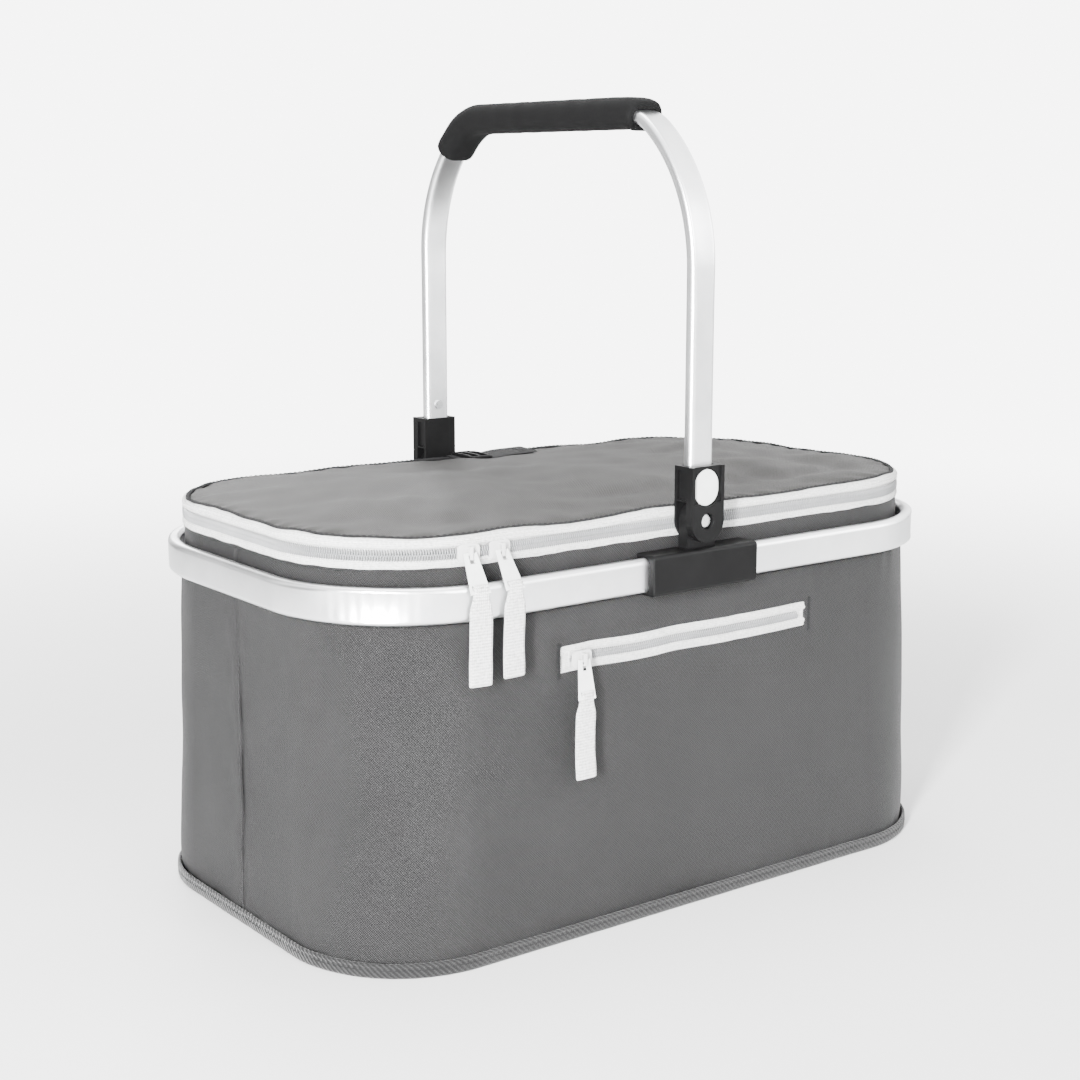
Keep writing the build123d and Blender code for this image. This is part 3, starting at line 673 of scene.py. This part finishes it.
def liner_push(points, outward, arc, z):
    place = lift(points, z)
    creases = 0.55 * np.abs(waves(place * [1, 1, 0.6], 42, seed=31))
    return -0.2 - creases - 0.3 * np.abs(waves(place, 20, seed=32, count=6))


# closer rows along the pocket window's lower and upper edges
wall_heights = np.unique(np.concatenate([
    [7.2], np.linspace(8.2, 195.2, 110),
    np.arange(155.0, 160.0, 0.45), np.arange(170.0, 175.5, 0.45)]))
loft("bag_wall", wall_heights, wall_outline, wall_push, WALL_COUNT, GREY, thickness=1.1,
     replaces=("wall_shell_front", "wall_shell_rear"), slot="grey_fabric")
loft("top_collar_cloth", np.linspace(193.5, 226.2, 24), lambda z: COLLAR, collar_push,
     WALL_COUNT, GREY, thickness=1.0, replaces=("top_collar",), slot="grey_fabric")
loft("wall_foam", np.linspace(8.8, 193.4, 14), partial(wall_outline, inset=3.2), foam_push,
     240, FOAM, thickness=2.6, replaces=("wall_foam_front", "wall_foam_rear"), slot="foam")
loft("liner_wall_foil", np.linspace(9.7, 225.6, 70),
     lambda z: tapered(z, LINER_Z, LINER_FOOT, LINER_TOP), liner_push,
     840, FOIL, thickness=0.35, replaces=("liner_walls",),
     slot="silver_liner")

# ------------------------------------------------------------------ floor of the bag
plate("bottom_cloth", (228.6, 134.6, 72), lambda xy: 1.1, lambda xy: 0.0, GREY, ROOT,
      replaces=("bottom_panel",), slot="grey_fabric")
plate("base_foam_pad", (224, 130, 68), lambda xy: 8.4, lambda xy: 3.7, FOAM, ROOT,
      replaces=("base_foam",), slot="foam")
plate("liner_floor_foil", (223.4, 129.4, 67),
      lambda xy: (9.3 + 0.5 * np.abs(waves(xy, 60, seed=41))
                  + 0.25 * np.abs(waves(xy, 26, seed=42))),
      lambda xy: 8.8, FOIL, ROOT, replaces=("liner_floor",), slot="silver_liner",
      rings=60, count=480)

# binding round the foot: folded tape with a bead along its top edge, (out, z)
BINDING_RING = np.array([
    (-3.6, 0.1), (-0.6, 0.0), (0.1, 0.5), (0.35, 1.6), (0.35, 5.4), (-0.1, 6.3), (0.35, 6.9),
    (0.3, 7.9), (-0.5, 8.6), (-1.4, 8.5), (-2.0, 7.8), (-2.2, 6.0), (-3.6, 1.4)])
loop, outward, arc = rounded_loop(231.6, 137.6, 75.2, 900)
wobble = 0.18 * waves(arc, 60, seed=51) + 0.1 * waves(arc, 14, seed=52)
sweep("bottom_binding_tape", lift(loop, 0), lift(outward, 0), UP,
      shifted(BINDING_RING, wobble * 0.5, 0), FOOT, closed=True,
      replaces=("bottom_binding",), slot="dark_binding")
stitch_row("binding_stitches", lift(loop + outward * 0.25, 4.9), lift(outward, 0), THREAD_DARK,
           pitch=4.0, length=2.9, radius=0.25)

# ------------------------------------------------------------------ side seams
# turned edge and a row of thread, with a narrow dark strip in the groove as painted shade; (y,
# out)
SEAM_RING = np.array([(-2.4, -0.5), (-0.6, 0.35), (0.0, 0.5), (0.3, -0.15), (0.55, 0.45),
                      (1.0, 0.4), (2.4, -0.5), (0, -0.9)])
SEAM_SHADE_RING = np.array([(-0.35, -0.3), (-0.3, 0.12), (0.3, 0.12), (0.35, -0.3)])
for sign, tag in ((-1, "left"), (1, "right")):
    z = np.linspace(8.0, 194.5, 120)
    x = np.array([wall_outline(height)[0] for height in z]) - 0.9
    x = x + 0.28 * waves(z, 40, seed=61) + 0.2 * np.sin(z / 6.5)
    path = np.column_stack([sign * x, 0.35 * waves(z, 70, seed=62), z])
    out = sign * X_AXIS
    sweep("side_seam_" + tag, path, Y_AXIS, out, SEAM_RING, GREY, slot="grey_fabric")
    # dark strip along the seam's groove, coloured like the binding: painted shade of the gap
    sweep("side_seam_shade_strip_" + tag, path + out * 0.12 + Y_AXIS * 0.25, Y_AXIS, out, SEAM_SHADE_RING,
          BINDING, slot="dark_binding")
    stitch_row("seam_stitches_" + tag, path + out * 0.45 - Y_AXIS * 1.4, out, THREAD_GREY,
               pitch=3.6)

# pouch behind the pocket zip
x = np.linspace(-103, 97, 40)
verts = []
for z in np.linspace(62, 175, 24):
    verts.append(lift(lift(x, -131.6 + 0.25 * waves(lift(x, z), 60, seed=71)), z))
verts = np.concatenate(verts)
pouch = mesh("pocket_pouch_cloth", verts, grid_faces(24, 40), GREY, ROOT, verts[:, [0, 2]],
             replaces=("pocket_pouch",), slot="grey_fabric")
thicken(pouch, 0.4)

# ------------------------------------------------------------------ rim
RIM, RIM_Z = (231, 136, 86), 206.5
RIM_GAP = 11.2  # half length left open at the middle of the front and back
TUBE_RADIUS, TUBE_STEPS = 3.6, 7
loop, outward, arc = rounded_loop(*RIM, 1600)
# the outer wall sinks in along each bend, and wrinkles a little
bend = smoothstep(0.0, 0.25, 1 - np.abs(outward).max(1))
dent = (2.3 + 0.2 * waves(arc, 9, seed=81, count=6)) * bend
rim_rings = bent_rings(rounded_ring(8, 20, TUBE_RADIUS, TUBE_STEPS), outer=0, half_face=8.6,
                       dent=dent, bend=bend)
for tag, here in (("left", loop[:, 0] < -RIM_GAP), ("right", loop[:, 0] > RIM_GAP)):
    sweep("rim_" + tag, lift(loop[here], RIM_Z), lift(outward[here], 0), UP, rim_rings[here],
          ALUMINIUM, replaces=("rim_tube_" + tag,), slot="anodised_aluminium")

# ------------------------------------------------------------------ handle
LEG_Y, LEG_FOOT_Z, LEG_TOP_Z = 135.5, 247, 378.0
LOWER_ANGLE, LOWER_RADIUS = math.radians(52), 100.0
UPPER_ANGLE, UPPER_RADIUS = math.pi / 2 - LOWER_ANGLE, 40.0
# centres of the two bends, then the flat top
LOWER_Y = LEG_Y - LOWER_RADIUS
TOP_HALF = LOWER_Y + (LOWER_RADIUS - UPPER_RADIUS) * math.cos(LOWER_ANGLE)
UPPER_Z = LEG_TOP_Z + (LOWER_RADIUS - UPPER_RADIUS) * math.sin(LOWER_ANGLE)
TOP_Z = UPPER_Z + UPPER_RADIUS


def handle_line():
    """Centre line from front foot to back foot: y, z, angle from vertical, bend weight."""
    def stretch(*columns):
        return np.column_stack(np.broadcast_arrays(*columns))

    lower = np.linspace(0, LOWER_ANGLE, 46)[1:]
    upper = np.linspace(LOWER_ANGLE, math.pi / 2, 30)[1:]
    half = np.concatenate([
        stretch(-LEG_Y, np.linspace(LEG_FOOT_Z, LEG_TOP_Z, 40), 0.0, 0.0),
        stretch(-(LOWER_Y + LOWER_RADIUS * np.cos(lower)),
                LEG_TOP_Z + LOWER_RADIUS * np.sin(lower), lower, 1.0),
        stretch(-(TOP_HALF + UPPER_RADIUS * np.cos(upper)),
                UPPER_Z + UPPER_RADIUS * np.sin(upper), upper, 1.0),
        stretch(np.linspace(-TOP_HALF, 0, 24)[1:], TOP_Z, math.pi / 2, 0.0)])
    mirrored = half[-2::-1] * [-1, 1, -1, 1] + [0, 0, math.pi, 0]
    return np.concatenate([half, mirrored])


line = handle_line()
y, z, angle, weight = line.T
handle_path = np.column_stack([np.zeros(len(line)), y, z])
handle_out = np.column_stack([np.zeros(len(line)), -np.cos(angle), np.sin(angle)])
# the bend weight fades over 13 points at each change
bend = np.convolve(np.pad(weight, 6, mode="edge"), np.ones(13) / 13, "valid")
sweep("handle_bow", handle_path, X_AXIS, handle_out,
      bent_rings(rounded_ring(18, 8, TUBE_RADIUS, TUBE_STEPS), outer=1, half_face=7.8,
                 dent=bend, bend=bend),
      ALUMINIUM, "handle", replaces=("handle_tube",), slot="anodised_aluminium")


def grip():
    """Foam sleeve over the top, hollow for a short way in at its ends."""
    hollow, end_scale = 6, 0.86
    run = run_length(handle_path)
    middle = run[np.argmin(np.abs(y) + (z < TOP_Z - 1) * 99)]
    start = middle - TOP_HALF - UPPER_RADIUS * math.radians(19.7)
    end = middle + TOP_HALF + UPPER_RADIUS * UPPER_ANGLE + LOWER_RADIUS * math.radians(10)
    s = np.linspace(start, end, 150)
    normals = sample(s, run, handle_out)
    normals /= np.linalg.norm(normals, axis=1)[:, None]
    outer, inner = rounded_ring(26, 18.6, 8.6, 8), rounded_ring(18.5, 8.5, 3.8, 8)
    # rounded at the ends, slightly waisted 10 mm in, with faint unevenness
    inward = np.minimum(s - start, end - s)
    scale = (1 - 0.10 * np.exp(-inward / 1.2) + 0.006 * waves(s, 24, seed=91)
             - 0.02 * bell(inward - 10, 9))
    places = [start + hollow, start, start, *s, end, end, end - hollow]
    normals = normals[[2, 0, 0, *range(len(s)), -1, -1, -3]]
    rings = np.array([inner, inner, outer * end_scale, *(outer * k for k in scale),
                      outer * end_scale, inner, inner])
    centres = sample(places, run, handle_path)
    verts = ring_verts(centres, np.broadcast_to(X_AXIS, centres.shape), normals, rings)
    mesh("grip_sleeve", verts, grid_faces(len(places), len(outer), wrap=True), GRIP, "handle",
         replaces=("handle_grip",), slot="grip_foam")


grip()

# ------------------------------------------------------------------ lid
LID_OUTLINE = (226.0, 126.6, 83.0)
STRAP_Y = 107


def lid_edge(xy):
    """Height of the lid's edge seam, a little lower at the back right."""
    x, y = xy.T
    sag = smoothstep(-0.2, 1.6, x / 226 * 0.7 + y / 126 * 0.9)
    return 240.4 - 2.6 * sag + 0.75 * waves(xy, 120, seed=101) + 0.3 * waves(xy, 42, seed=102)


def lid_inward(xy):
    """Distance in from the lid's edge, never below 0."""
    half_x, half_y, radius = LID_OUTLINE
    corner = np.abs(xy) - [half_x - radius, half_y - radius]
    outside = np.linalg.norm(np.maximum(corner, 0), axis=1)
    return np.maximum(radius - outside - np.minimum(corner.max(1), 0), 0)


def lid_top(xy):
    x, y = xy.T
    inward = lid_inward(xy)
    # rounded edge, low dome, then broad and small swells
    z = lid_edge(xy) - 1.0 + 3.4 * (1 - np.exp(-inward / 5.5)) + 2.4 * smoothstep(0, 110, inward)
    z += 1.5 * waves(xy, 105, seed=103) * smoothstep(4, 40, inward)
    z += 0.55 * waves(xy, 40, seed=104) * smoothstep(2, 20, inward)
    # gathers along the stitched edge
    around = np.arctan2(y, x * 0.6)
    z += 0.45 * np.sin(around * 60 + 3 * waves(xy, 110, seed=105)) * bell(inward - 5, 6)
    # the strap at the back presses the lid down
    return z - 2.6 * bell(x - 28, 48) * bell(y - STRAP_Y, 24)


plate("lid_cloth", LID_OUTLINE, lid_top, lambda xy: lid_edge(xy) - 1.6, LID_FABRIC, LID,
      replaces=("lid_cover",), slot="lid_fabric", rings=90,
      count=900)
plate("lid_foam_pad", (217, 121.5, 75), lambda xy: lid_edge(xy) - 1.9,
      lambda xy: lid_edge(xy) - 5.2, FOAM, LID, replaces=("lid_foam",), slot="foam")
plate("lid_liner_foil", (219, 122.6, 77), lambda xy: lid_edge(xy) - 5.3,
      lambda xy: (lid_edge(xy) - 6.1 - 0.5 * np.abs(waves(xy, 60, seed=111))
                  - 0.3 * np.abs(waves(xy, 24, seed=112))),
      FOIL, LID, replaces=("lid_liner",), slot="silver_liner", rings=60, count=480)

# edge binding, (out, z)
LID_BINDING_RING = np.array([(-0.7, -1.2), (-0.45, 0.2), (-0.75, 1.1), (-1.5, 1.6),
                             (-2.5, 1.65), (-3.2, 1.2), (-3.1, 0.3), (-1.8, -1.0)])
loop, outward, arc = rounded_loop(226.6, 127.2, 83.6, 1300)
edge = lid_edge(loop)
wobble = waves(arc, 22, seed=121)
sweep("lid_edge_binding", lift(loop, edge), lift(outward, 0), UP,
      shifted(LID_BINDING_RING, 0.12 * wobble, 0.1 * wobble), BINDING, LID, closed=True,
      replaces=("lid_piping",), slot="dark_binding")
stitch_row("lid_edge_stitches", lift(loop - outward * 2.1, edge + 1.65), UP, THREAD_DARK, LID,
           pitch=3.6, radius=0.2)

# ------------------------------------------------------------------ lid zip
ZIP_HALF_X, ZIP_HALF_Y, ZIP_RADIUS, ZIP_Z = 226.0, 126.8, 83, 232.2
loop, outward, arc = rounded_loop(ZIP_HALF_X, ZIP_HALF_Y, ZIP_RADIUS, 1500)
# the zip runs round the left, front and right, and leaves the back open
here = loop[:, 1] < 112
zip_xy, zip_out, zip_arc = loop[here], outward[here], arc[here]
zip_edge = lid_edge(zip_xy)
zip_normals = lift(zip_out, 0)


def lid_tape(name, bottom, top, bulge, body, replaces):
    """Zip tape from bottom to top; bulge(t) is how far it stands out on the way up."""
    rows = 22
    verts, uv = [], []
    for k in range(rows):
        t = k / (rows - 1)
        z = bottom + (top - bottom) * t
        offset = bulge(t) + 0.12 * waves(lift(zip_xy, z), 30, seed=131)
        verts.append(lift(zip_xy + zip_out * offset[:, None], z))
        uv.append(lift(zip_arc, z))
    obj = mesh(name, np.concatenate(verts), grid_faces(rows, len(zip_xy)), ZIP_TAPE, body,
               np.concatenate(uv), replaces, slot="white_zip")
    thicken(obj, 0.6)


def lower_bulge(t):
    arch = max(0.0, math.sin(math.pi * min(1, 0.12 + t * 1.15))) ** 0.6
    return 0.2 + 2.0 * arch * (t < 0.75)


def upper_bulge(t):
    """A step out, a groove, then a curve in under the lid's edge."""
    groove, tuck = 0.5 * bell(t - 0.64, 0.06), 2.4 * max(0, t - 0.74) ** 2 / 0.068
    return 0.2 + 1.9 * smoothstep(0.28, 0.46, t) - groove - tuck


lid_tape("zip_tape_lower", 224.6, 231.4, lower_bulge, ROOT, ("lid_zip_lower",))
lid_tape("zip_tape_upper", 233.0, zip_edge + 0.9, upper_bulge, LID, ("lid_zip_upper",))
zip_path = lift(zip_xy + zip_out * 0.5, ZIP_Z)
zip_coil("zip_coil_upper", zip_path, zip_normals, LID, side=1, reach=3.1)
zip_coil("zip_coil_lower", zip_path, zip_normals, ROOT, side=-1, reach=3.1)
stitch_row("zip_stitches_lower", lift(zip_xy + zip_out * 1.75, 226.3), zip_normals,
           THREAD_WHITE, pitch=3.2, radius=0.2)
stitch_row("zip_stitches_upper", lift(zip_xy + zip_out * 1.85, zip_edge - 1.4), zip_normals,
           THREAD_WHITE, LID, pitch=3.2, radius=0.2)

# folded cloth edge that frames the lower tape, (out, z)
COLLAR_FOLD_RING = np.array([(0.2, -1.6), (0.95, -1.1), (1.1, 0.0), (0.85, 0.8), (0.1, 1.05),
                             (-0.5, 0.6), (-0.6, -1.4)])
loop, outward, arc = rounded_loop(226.6, 127.4, 83.6, 1100)
wobble = waves(arc, 26, seed=141)
sweep("collar_folded_edge", lift(loop, 224.9), lift(outward, 0), UP,
      shifted(COLLAR_FOLD_RING, 0.15 * wobble, 0.2 * wobble), GREY, closed=True,
      slot="grey_fabric")

# ------------------------------------------------------------------ cloth hinge at the back
# (y at mid length, z), from the collar up to the lid
HINGE_ROWS = ((127.0, 222.5), (127.2, 226), (127.1, 229.5), (126.6, 232.6), (125.6, 235.2),
              (124.6, 237.0), (124.2, 238.4))
rearmost = zip_xy[np.argsort(-zip_xy[:, 1])[:12], 0]
hinge_half = float(np.max(np.abs(rearmost))) + 2.0
x = np.linspace(-hinge_half, hinge_half, 240)
# the hinge follows the corners of the outline at its ends
into_corner = np.maximum(np.abs(x) - (ZIP_HALF_X - ZIP_RADIUS), 0)
curve = np.sqrt(np.maximum(ZIP_RADIUS ** 2 - into_corner ** 2, 0)) - ZIP_RADIUS
verts, uv = [], []
for k, (y, z) in enumerate(HINGE_ROWS):
    inner_row = 0 < k < len(HINGE_ROWS) - 1
    wrinkle = 0.35 * waves(lift(x, z), 34, seed=151) * inner_row
    verts.append(lift(lift(x, y + curve + wrinkle), z))
    uv.append(lift(x, k * 3.0))
hinge = mesh("lid_hinge_cloth", np.concatenate(verts), grid_faces(len(HINGE_ROWS), len(x)),
             GREY, None, np.concatenate(uv), replaces=("lid_hinge_strip",), slot="grey_fabric")
thicken(hinge, 0.7, offset=0)
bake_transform(hinge)

# ------------------------------------------------------------------ strap on the lid
strap_x = np.linspace(-3, 60, 50)
strap_slope = 0.02 * strap_x
strap_base = lid_top(lift(strap_x, STRAP_Y + strap_slope))
# layer, raise over the lid, x from and to, shift in y, piece replaced
for tag, raised, start, end, shift, replaced in (("lower", 1.0, -3, 58, 0.0, ("lid_strap",)),
                                                 ("upper", 2.5, 1, 60, 0.9, ())):
    here = (strap_x >= start) & (strap_x <= end)
    z = strap_base + raised + 0.24 * np.sin(strap_x / 9.0 + raised)
    points = np.column_stack([strap_x, STRAP_Y + shift + strap_slope, z])[here]
    webbing("storage_strap_" + tag, points, np.full(len(points), 22.0),
            np.array([0, 1.0, 0.04]), np.array([0, -0.04, 1.0]), 1.2, BLACK_WEB, LID,
            replaced, "black_webbing")


def slide_buckle():
    """Ladder of three bars across the strap, slightly raised, and two bars along it."""
    x, y = 10, 107.2
    z = float(np.interp(x, strap_x, strap_base)) + 3.5
    stations = np.linspace(-0.5, 0.5, 9)
    # dx, dy, length, section width, whether it runs along y
    bars = [(dx, 0, 27.5, 2.2, True) for dx in (-7.2, 0, 7.2)]
    bars += [(0, dy, 16.6, 2.4, False) for dy in (-12.6, 12.6)]
    verts, faces = [], []
    for dx, dy, length, width, runs_y in bars:
        start = len(verts)
        profile = rounded_ring(width, 2.4, 0.8, 3)
        for t in stations:
            k = 0.75 if abs(t) > 0.49 else 1.0
            crown = 0.5 * (abs(t) < 0.3) * runs_y
            for a, h in profile:
                across, along = a * k, t * length
                px, py = (across, along) if runs_y else (along, across)
                verts.append((x + dx + px, y + dy + py, z + h * k + crown))
        faces += grid_faces(len(stations), len(profile), wrap=True, start=start)
        faces += end_caps(len(stations), len(profile), start)
    mesh("strap_slide_buckle", verts, faces, BLACK, LID, replaces=("strap_ring",),
         slot="black_plastic")


slide_buckle()
z = np.interp(50, strap_x, strap_base) + 3.6
stitch_row("strap_stitches", [(50, 98, z), (50, 117, z)], UP, THREAD_BLACK, LID,
           pitch=2.6, length=2.0)


# ------------------------------------------------------------------ zip pulls
def pull_ribbon(tag, origin, yaw, lean, tab, drop, body, replaced, seed):
    """Ribbon through the slot of a leaning tab, folded at its lower end and stitched."""
    c, s = math.cos(yaw), math.sin(yaw)
    turn = np.array([[c, -s, 0], [s, c, 0], [0, 0, 1.0]])
    slot_run = tab - 1.8
    eye_y = -4.4 - slot_run * math.sin(lean)
    eye_z = -0.5 - slot_run * math.cos(lean)

    def leg(t, face, slack, shift):
        """Points, normals and widths of the front (face 1) or back (face -1) run."""
        pinch = 1.05 - 0.55 * np.sin(np.clip(t * 3.2, 0, 1) * math.pi / 2)
        gap = face * pinch + slack * smoothstep(0.62, 1.0, t)
        y = eye_y - gap - 0.5 * np.sin(t * 3.0 + seed) + shift
        z = eye_z + 2.2 * (1 - np.clip(t * 9, 0, 1)) - t * (eye_z + drop)
        points = np.column_stack([0.5 * np.sin(2.2 * t + seed), y, z])
        widths = 8.2 + 5.0 * smoothstep(0.04, 0.24, t) - 0.5 * smoothstep(0.8, 1, t)
        return points, np.tile(FRONT * face, (len(t), 1)), widths

    front = leg(np.linspace(-0.02, 1, 30), face=1, slack=1.3, shift=0.4)
    back = leg(np.linspace(1, -0.02, 30), face=-1, slack=0.2, shift=0.2)
    angle = np.linspace(0.25, 0.75, 3) * math.pi
    cos, sin, none = np.cos(angle), np.sin(angle), np.zeros(3)
    fold = (front[0][-1] + 1.1 * np.column_stack([none, 1 - cos, -sin]),
            np.column_stack([none, -cos, -sin]), np.full(3, 12.6))
    points, normals, widths = (np.concatenate(parts) for parts in zip(front, fold, back))
    webbing("pull_ribbon_" + tag, points @ turn.T + origin, widths, turn[:, 0],
            normals @ turn.T, 0.8, WHITE_WEB, body, (replaced,), "white_webbing")
    row = np.array([(x, eye_y - 1.4, eye_z - 9) for x in (-4.6, 4.6)]) @ turn.T + origin
    stitch_row("pull_stitches_" + tag, row, -turn[:, 1], THREAD_WHITE, body,
               pitch=2.0, length=1.6, radius=0.3, raised=0.0)


# the left slider stands on the front left corner of the zip
yaw, lean = math.radians(-8.6), math.radians(33.4)
left_origin = np.array([-(ZIP_HALF_X - ZIP_RADIUS) + ZIP_RADIUS * math.sin(yaw),
                        -(ZIP_HALF_Y - ZIP_RADIUS) - ZIP_RADIUS * math.cos(yaw), ZIP_Z])
pull_ribbon("left", left_origin, yaw, lean, tab=23, drop=69, body="lid_pull_left",
            replaced="lid_pull_ribbon_left", seed=1)
pull_ribbon("right", (-136.0, -ZIP_HALF_Y, ZIP_Z), 0.0, lean, tab=23, drop=67,
            body="lid_pull_right", replaced="lid_pull_ribbon_right", seed=2)
pull_ribbon("pocket", (-86.0, -135.2, POCKET_Z), 0.0, math.radians(8), tab=22, drop=67,
            body="pocket_pull", replaced="pocket_pull_ribbon", seed=3)

# ------------------------------------------------------------------ pocket zip
TAPE_ROWS = (-8.2, -7.0, -5.6, -4.4, -3.4, -2.4, -1.0, 0.0, 1.0, 2.4, 3.4, 4.4, 5.6, 7.0, 8.2)
x = np.linspace(POCKET_LEFT - 2, POCKET_RIGHT + 2, 220)
middle = pocket_middle(x)
tape_y = front_y(x, POCKET_Z) + 0.75
verts, uv = [], []
for dz in TAPE_ROWS:
    # set back under the coil, forward beside it
    step = (0.55 if abs(dz) < 3 else 0) - 0.35 * (3 < abs(dz) < 5)
    verts.append(np.column_stack([x, tape_y + step, middle + dz]))
    uv.append(lift(x, dz))
tape = mesh("pocket_zip_tape", np.concatenate(verts), grid_faces(len(TAPE_ROWS), len(x)),
            ZIP_TAPE, ROOT, np.concatenate(uv), replaces=("pocket_zip",), slot="white_zip")
thicken(tape, 0.5)
coil_path = np.column_stack([x, tape_y + 0.1, middle])[8:-9]
zip_coil("pocket_coil_upper", coil_path, FRONT, ROOT, side=1, reach=2.3)
zip_coil("pocket_coil_lower", coil_path, FRONT, ROOT, side=-1, reach=2.3)

# a row of thread above and below the opening, and a zigzag bar at each end
x = np.linspace(POCKET_LEFT - 3.2, POCKET_RIGHT + 3.2, 160)
for tag, dz in (("upper", 10.4), ("lower", -10.4)):
    z = pocket_middle(x) + dz
    points = np.column_stack([x, front_y(x, np.round(z, 1)), z])
    stitch_row("pocket_stitches_" + tag, points, FRONT, THREAD_GREY, pitch=3.0, radius=0.26,
               raised=-0.02)
z = np.linspace(POCKET_Z - 10.5, POCKET_Z + 10.5, 44)
for tag, end in (("left", POCKET_LEFT - 3.0), ("right", POCKET_RIGHT + 3.0)):
    y = front_y(np.full(44, end), np.round(z, 1)) - 0.05
    points = np.column_stack([end + 1.5 * (np.arange(44) % 2), y, z])
    stitch_row("pocket_bartack_" + tag, points, FRONT, THREAD_DARK, pitch=1.0, length=1.5,
               radius=0.34, raised=0.0)

# ------------------------------------------------------------------ stage, in metres
BACKDROP = 7.0


def floor_material():
    m = Material("floor", (0.86, 0.86, 0.86), rough=0.55)
    cloud = m.noise(scale=3, detail=2)
    m.color_by(cloud, [(0.3, (0.84, 0.84, 0.84)), (0.7, (0.88, 0.88, 0.88))])
    # far from the object the floor fades to the backdrop's level, for the camera only
    coords, distance = m.object_coords(), m.node("VectorMath", operation="LENGTH")
    m.link(coords, distance.inputs[0])
    fade = m.node("MapRange", interpolation_type="SMOOTHSTEP")
    fade.inputs["From Min"].default_value = 0.35
    fade.inputs["From Max"].default_value = 1.9
    m.link(distance.outputs["Value"], fade.inputs["Value"])
    ray, glow = m.node("LightPath"), m.node("Emission")
    glow.inputs["Strength"].default_value = BACKDROP
    mix = m.node("MixShader")
    m.link(m.mul(fade.outputs[0], ray.outputs["Is Camera Ray"]), mix.inputs[0])
    m.link(m.shader.outputs[0], mix.inputs[1])
    m.link(glow.outputs[0], mix.inputs[2])
    m.link(mix.outputs[0], m.tree.nodes["Material Output"].inputs["Surface"])
    return m.data


def studio_world():
    """Brighter in front and above, with soft bands for the metal to pick up."""
    world = bpy.data.worlds.new("studio")
    bpy.context.scene.world = world
    world.use_nodes = True
    tree = world.node_tree
    coords, split, ray = (tree.nodes.new("ShaderNode" + kind)
                          for kind in ("TexCoord", "SeparateXYZ", "LightPath"))
    tree.links.new(coords.outputs["Generated"], split.inputs[0])
    x, y, z = split.outputs
    calc = partial(math_node, tree)
    add, mul = partial(calc, "ADD"), partial(calc, "MULTIPLY")
    camera_ray = ray.outputs["Is Camera Ray"]
    # tilt of the brightness along each axis, then bands along x
    level = add(mul(x, 0.22), add(mul(y, -0.44), mul(z, 0.35)))
    band = mul(calc("SINE", add(mul(x, 9.0), 0.6), 0), 0.30)
    # mean level 0.60 and floor 0.08; reflections see it brighter than diffuse light does
    level = mul(calc("MAXIMUM", add(add(level, band), 0.60), 0.08),
                add(0.62, mul(ray.outputs["Is Glossy Ray"], 3.4)))
    strength = add(mul(camera_ray, BACKDROP), mul(calc("SUBTRACT", 1.0, camera_ray), level))
    background = tree.nodes["Background"]
    background.inputs[0].default_value = (1, 1, 1, 1)
    tree.links.new(strength, background.inputs[1])


def place(name, data, location, back):
    """Add a light or camera that looks away from the direction back."""
    obj = bpy.data.objects.new(name, data)
    bpy.context.collection.objects.link(obj)
    obj.location = location
    obj.rotation_euler = (-back).to_track_quat("-Z", "Y").to_euler()
    return obj


floor_look = floor_material()
bpy.ops.mesh.primitive_plane_add(size=30, location=(0, 0, -0.0003))
floor = bpy.context.object
floor.name = "floor"
floor.data.materials.append(floor_look)
studio_world()

# name, place, target, width, height, power in watts
LIGHTS = (
    ("strip", (-1.72, -1.24, 0.62), (-0.2, -0.1, 0.13), 0.24, 1.1, 350),
    ("front", (0.25, -2.3, 1.35), (-0.05, 0, 0.25), 1.3, 1.3, 84),
    ("fill", (1.6, -1.2, 0.9), (0.1, 0, 0.15), 0.9, 0.9, 20),
    ("top", (0.1, 0.4, 1.9), (0, 0, 0.2), 1.2, 1.2, 38),
    ("back", (0.6, 1.9, 1.1), (0, 0, 0.2), 1.0, 1.0, 26),
)
for name, location, target, width, height, power in LIGHTS:
    light = bpy.data.lights.new(name, "AREA")
    light.shape, light.size, light.size_y = "RECTANGLE", width, height
    light.energy = power
    place(name, light, location, Vector(location) - Vector(target))

camera_data = bpy.data.cameras.new("camera")
camera_data.lens, camera_data.sensor_width = 62.07, 36
yaw, pitch = -0.645, 0.192  # radians
back = Vector((math.sin(yaw) * math.cos(pitch), -math.cos(yaw) * math.cos(pitch),
               math.sin(pitch)))
camera = place("camera", camera_data, (-0.7097, -0.9278, 0.4282), back)
bpy.context.scene.camera = camera
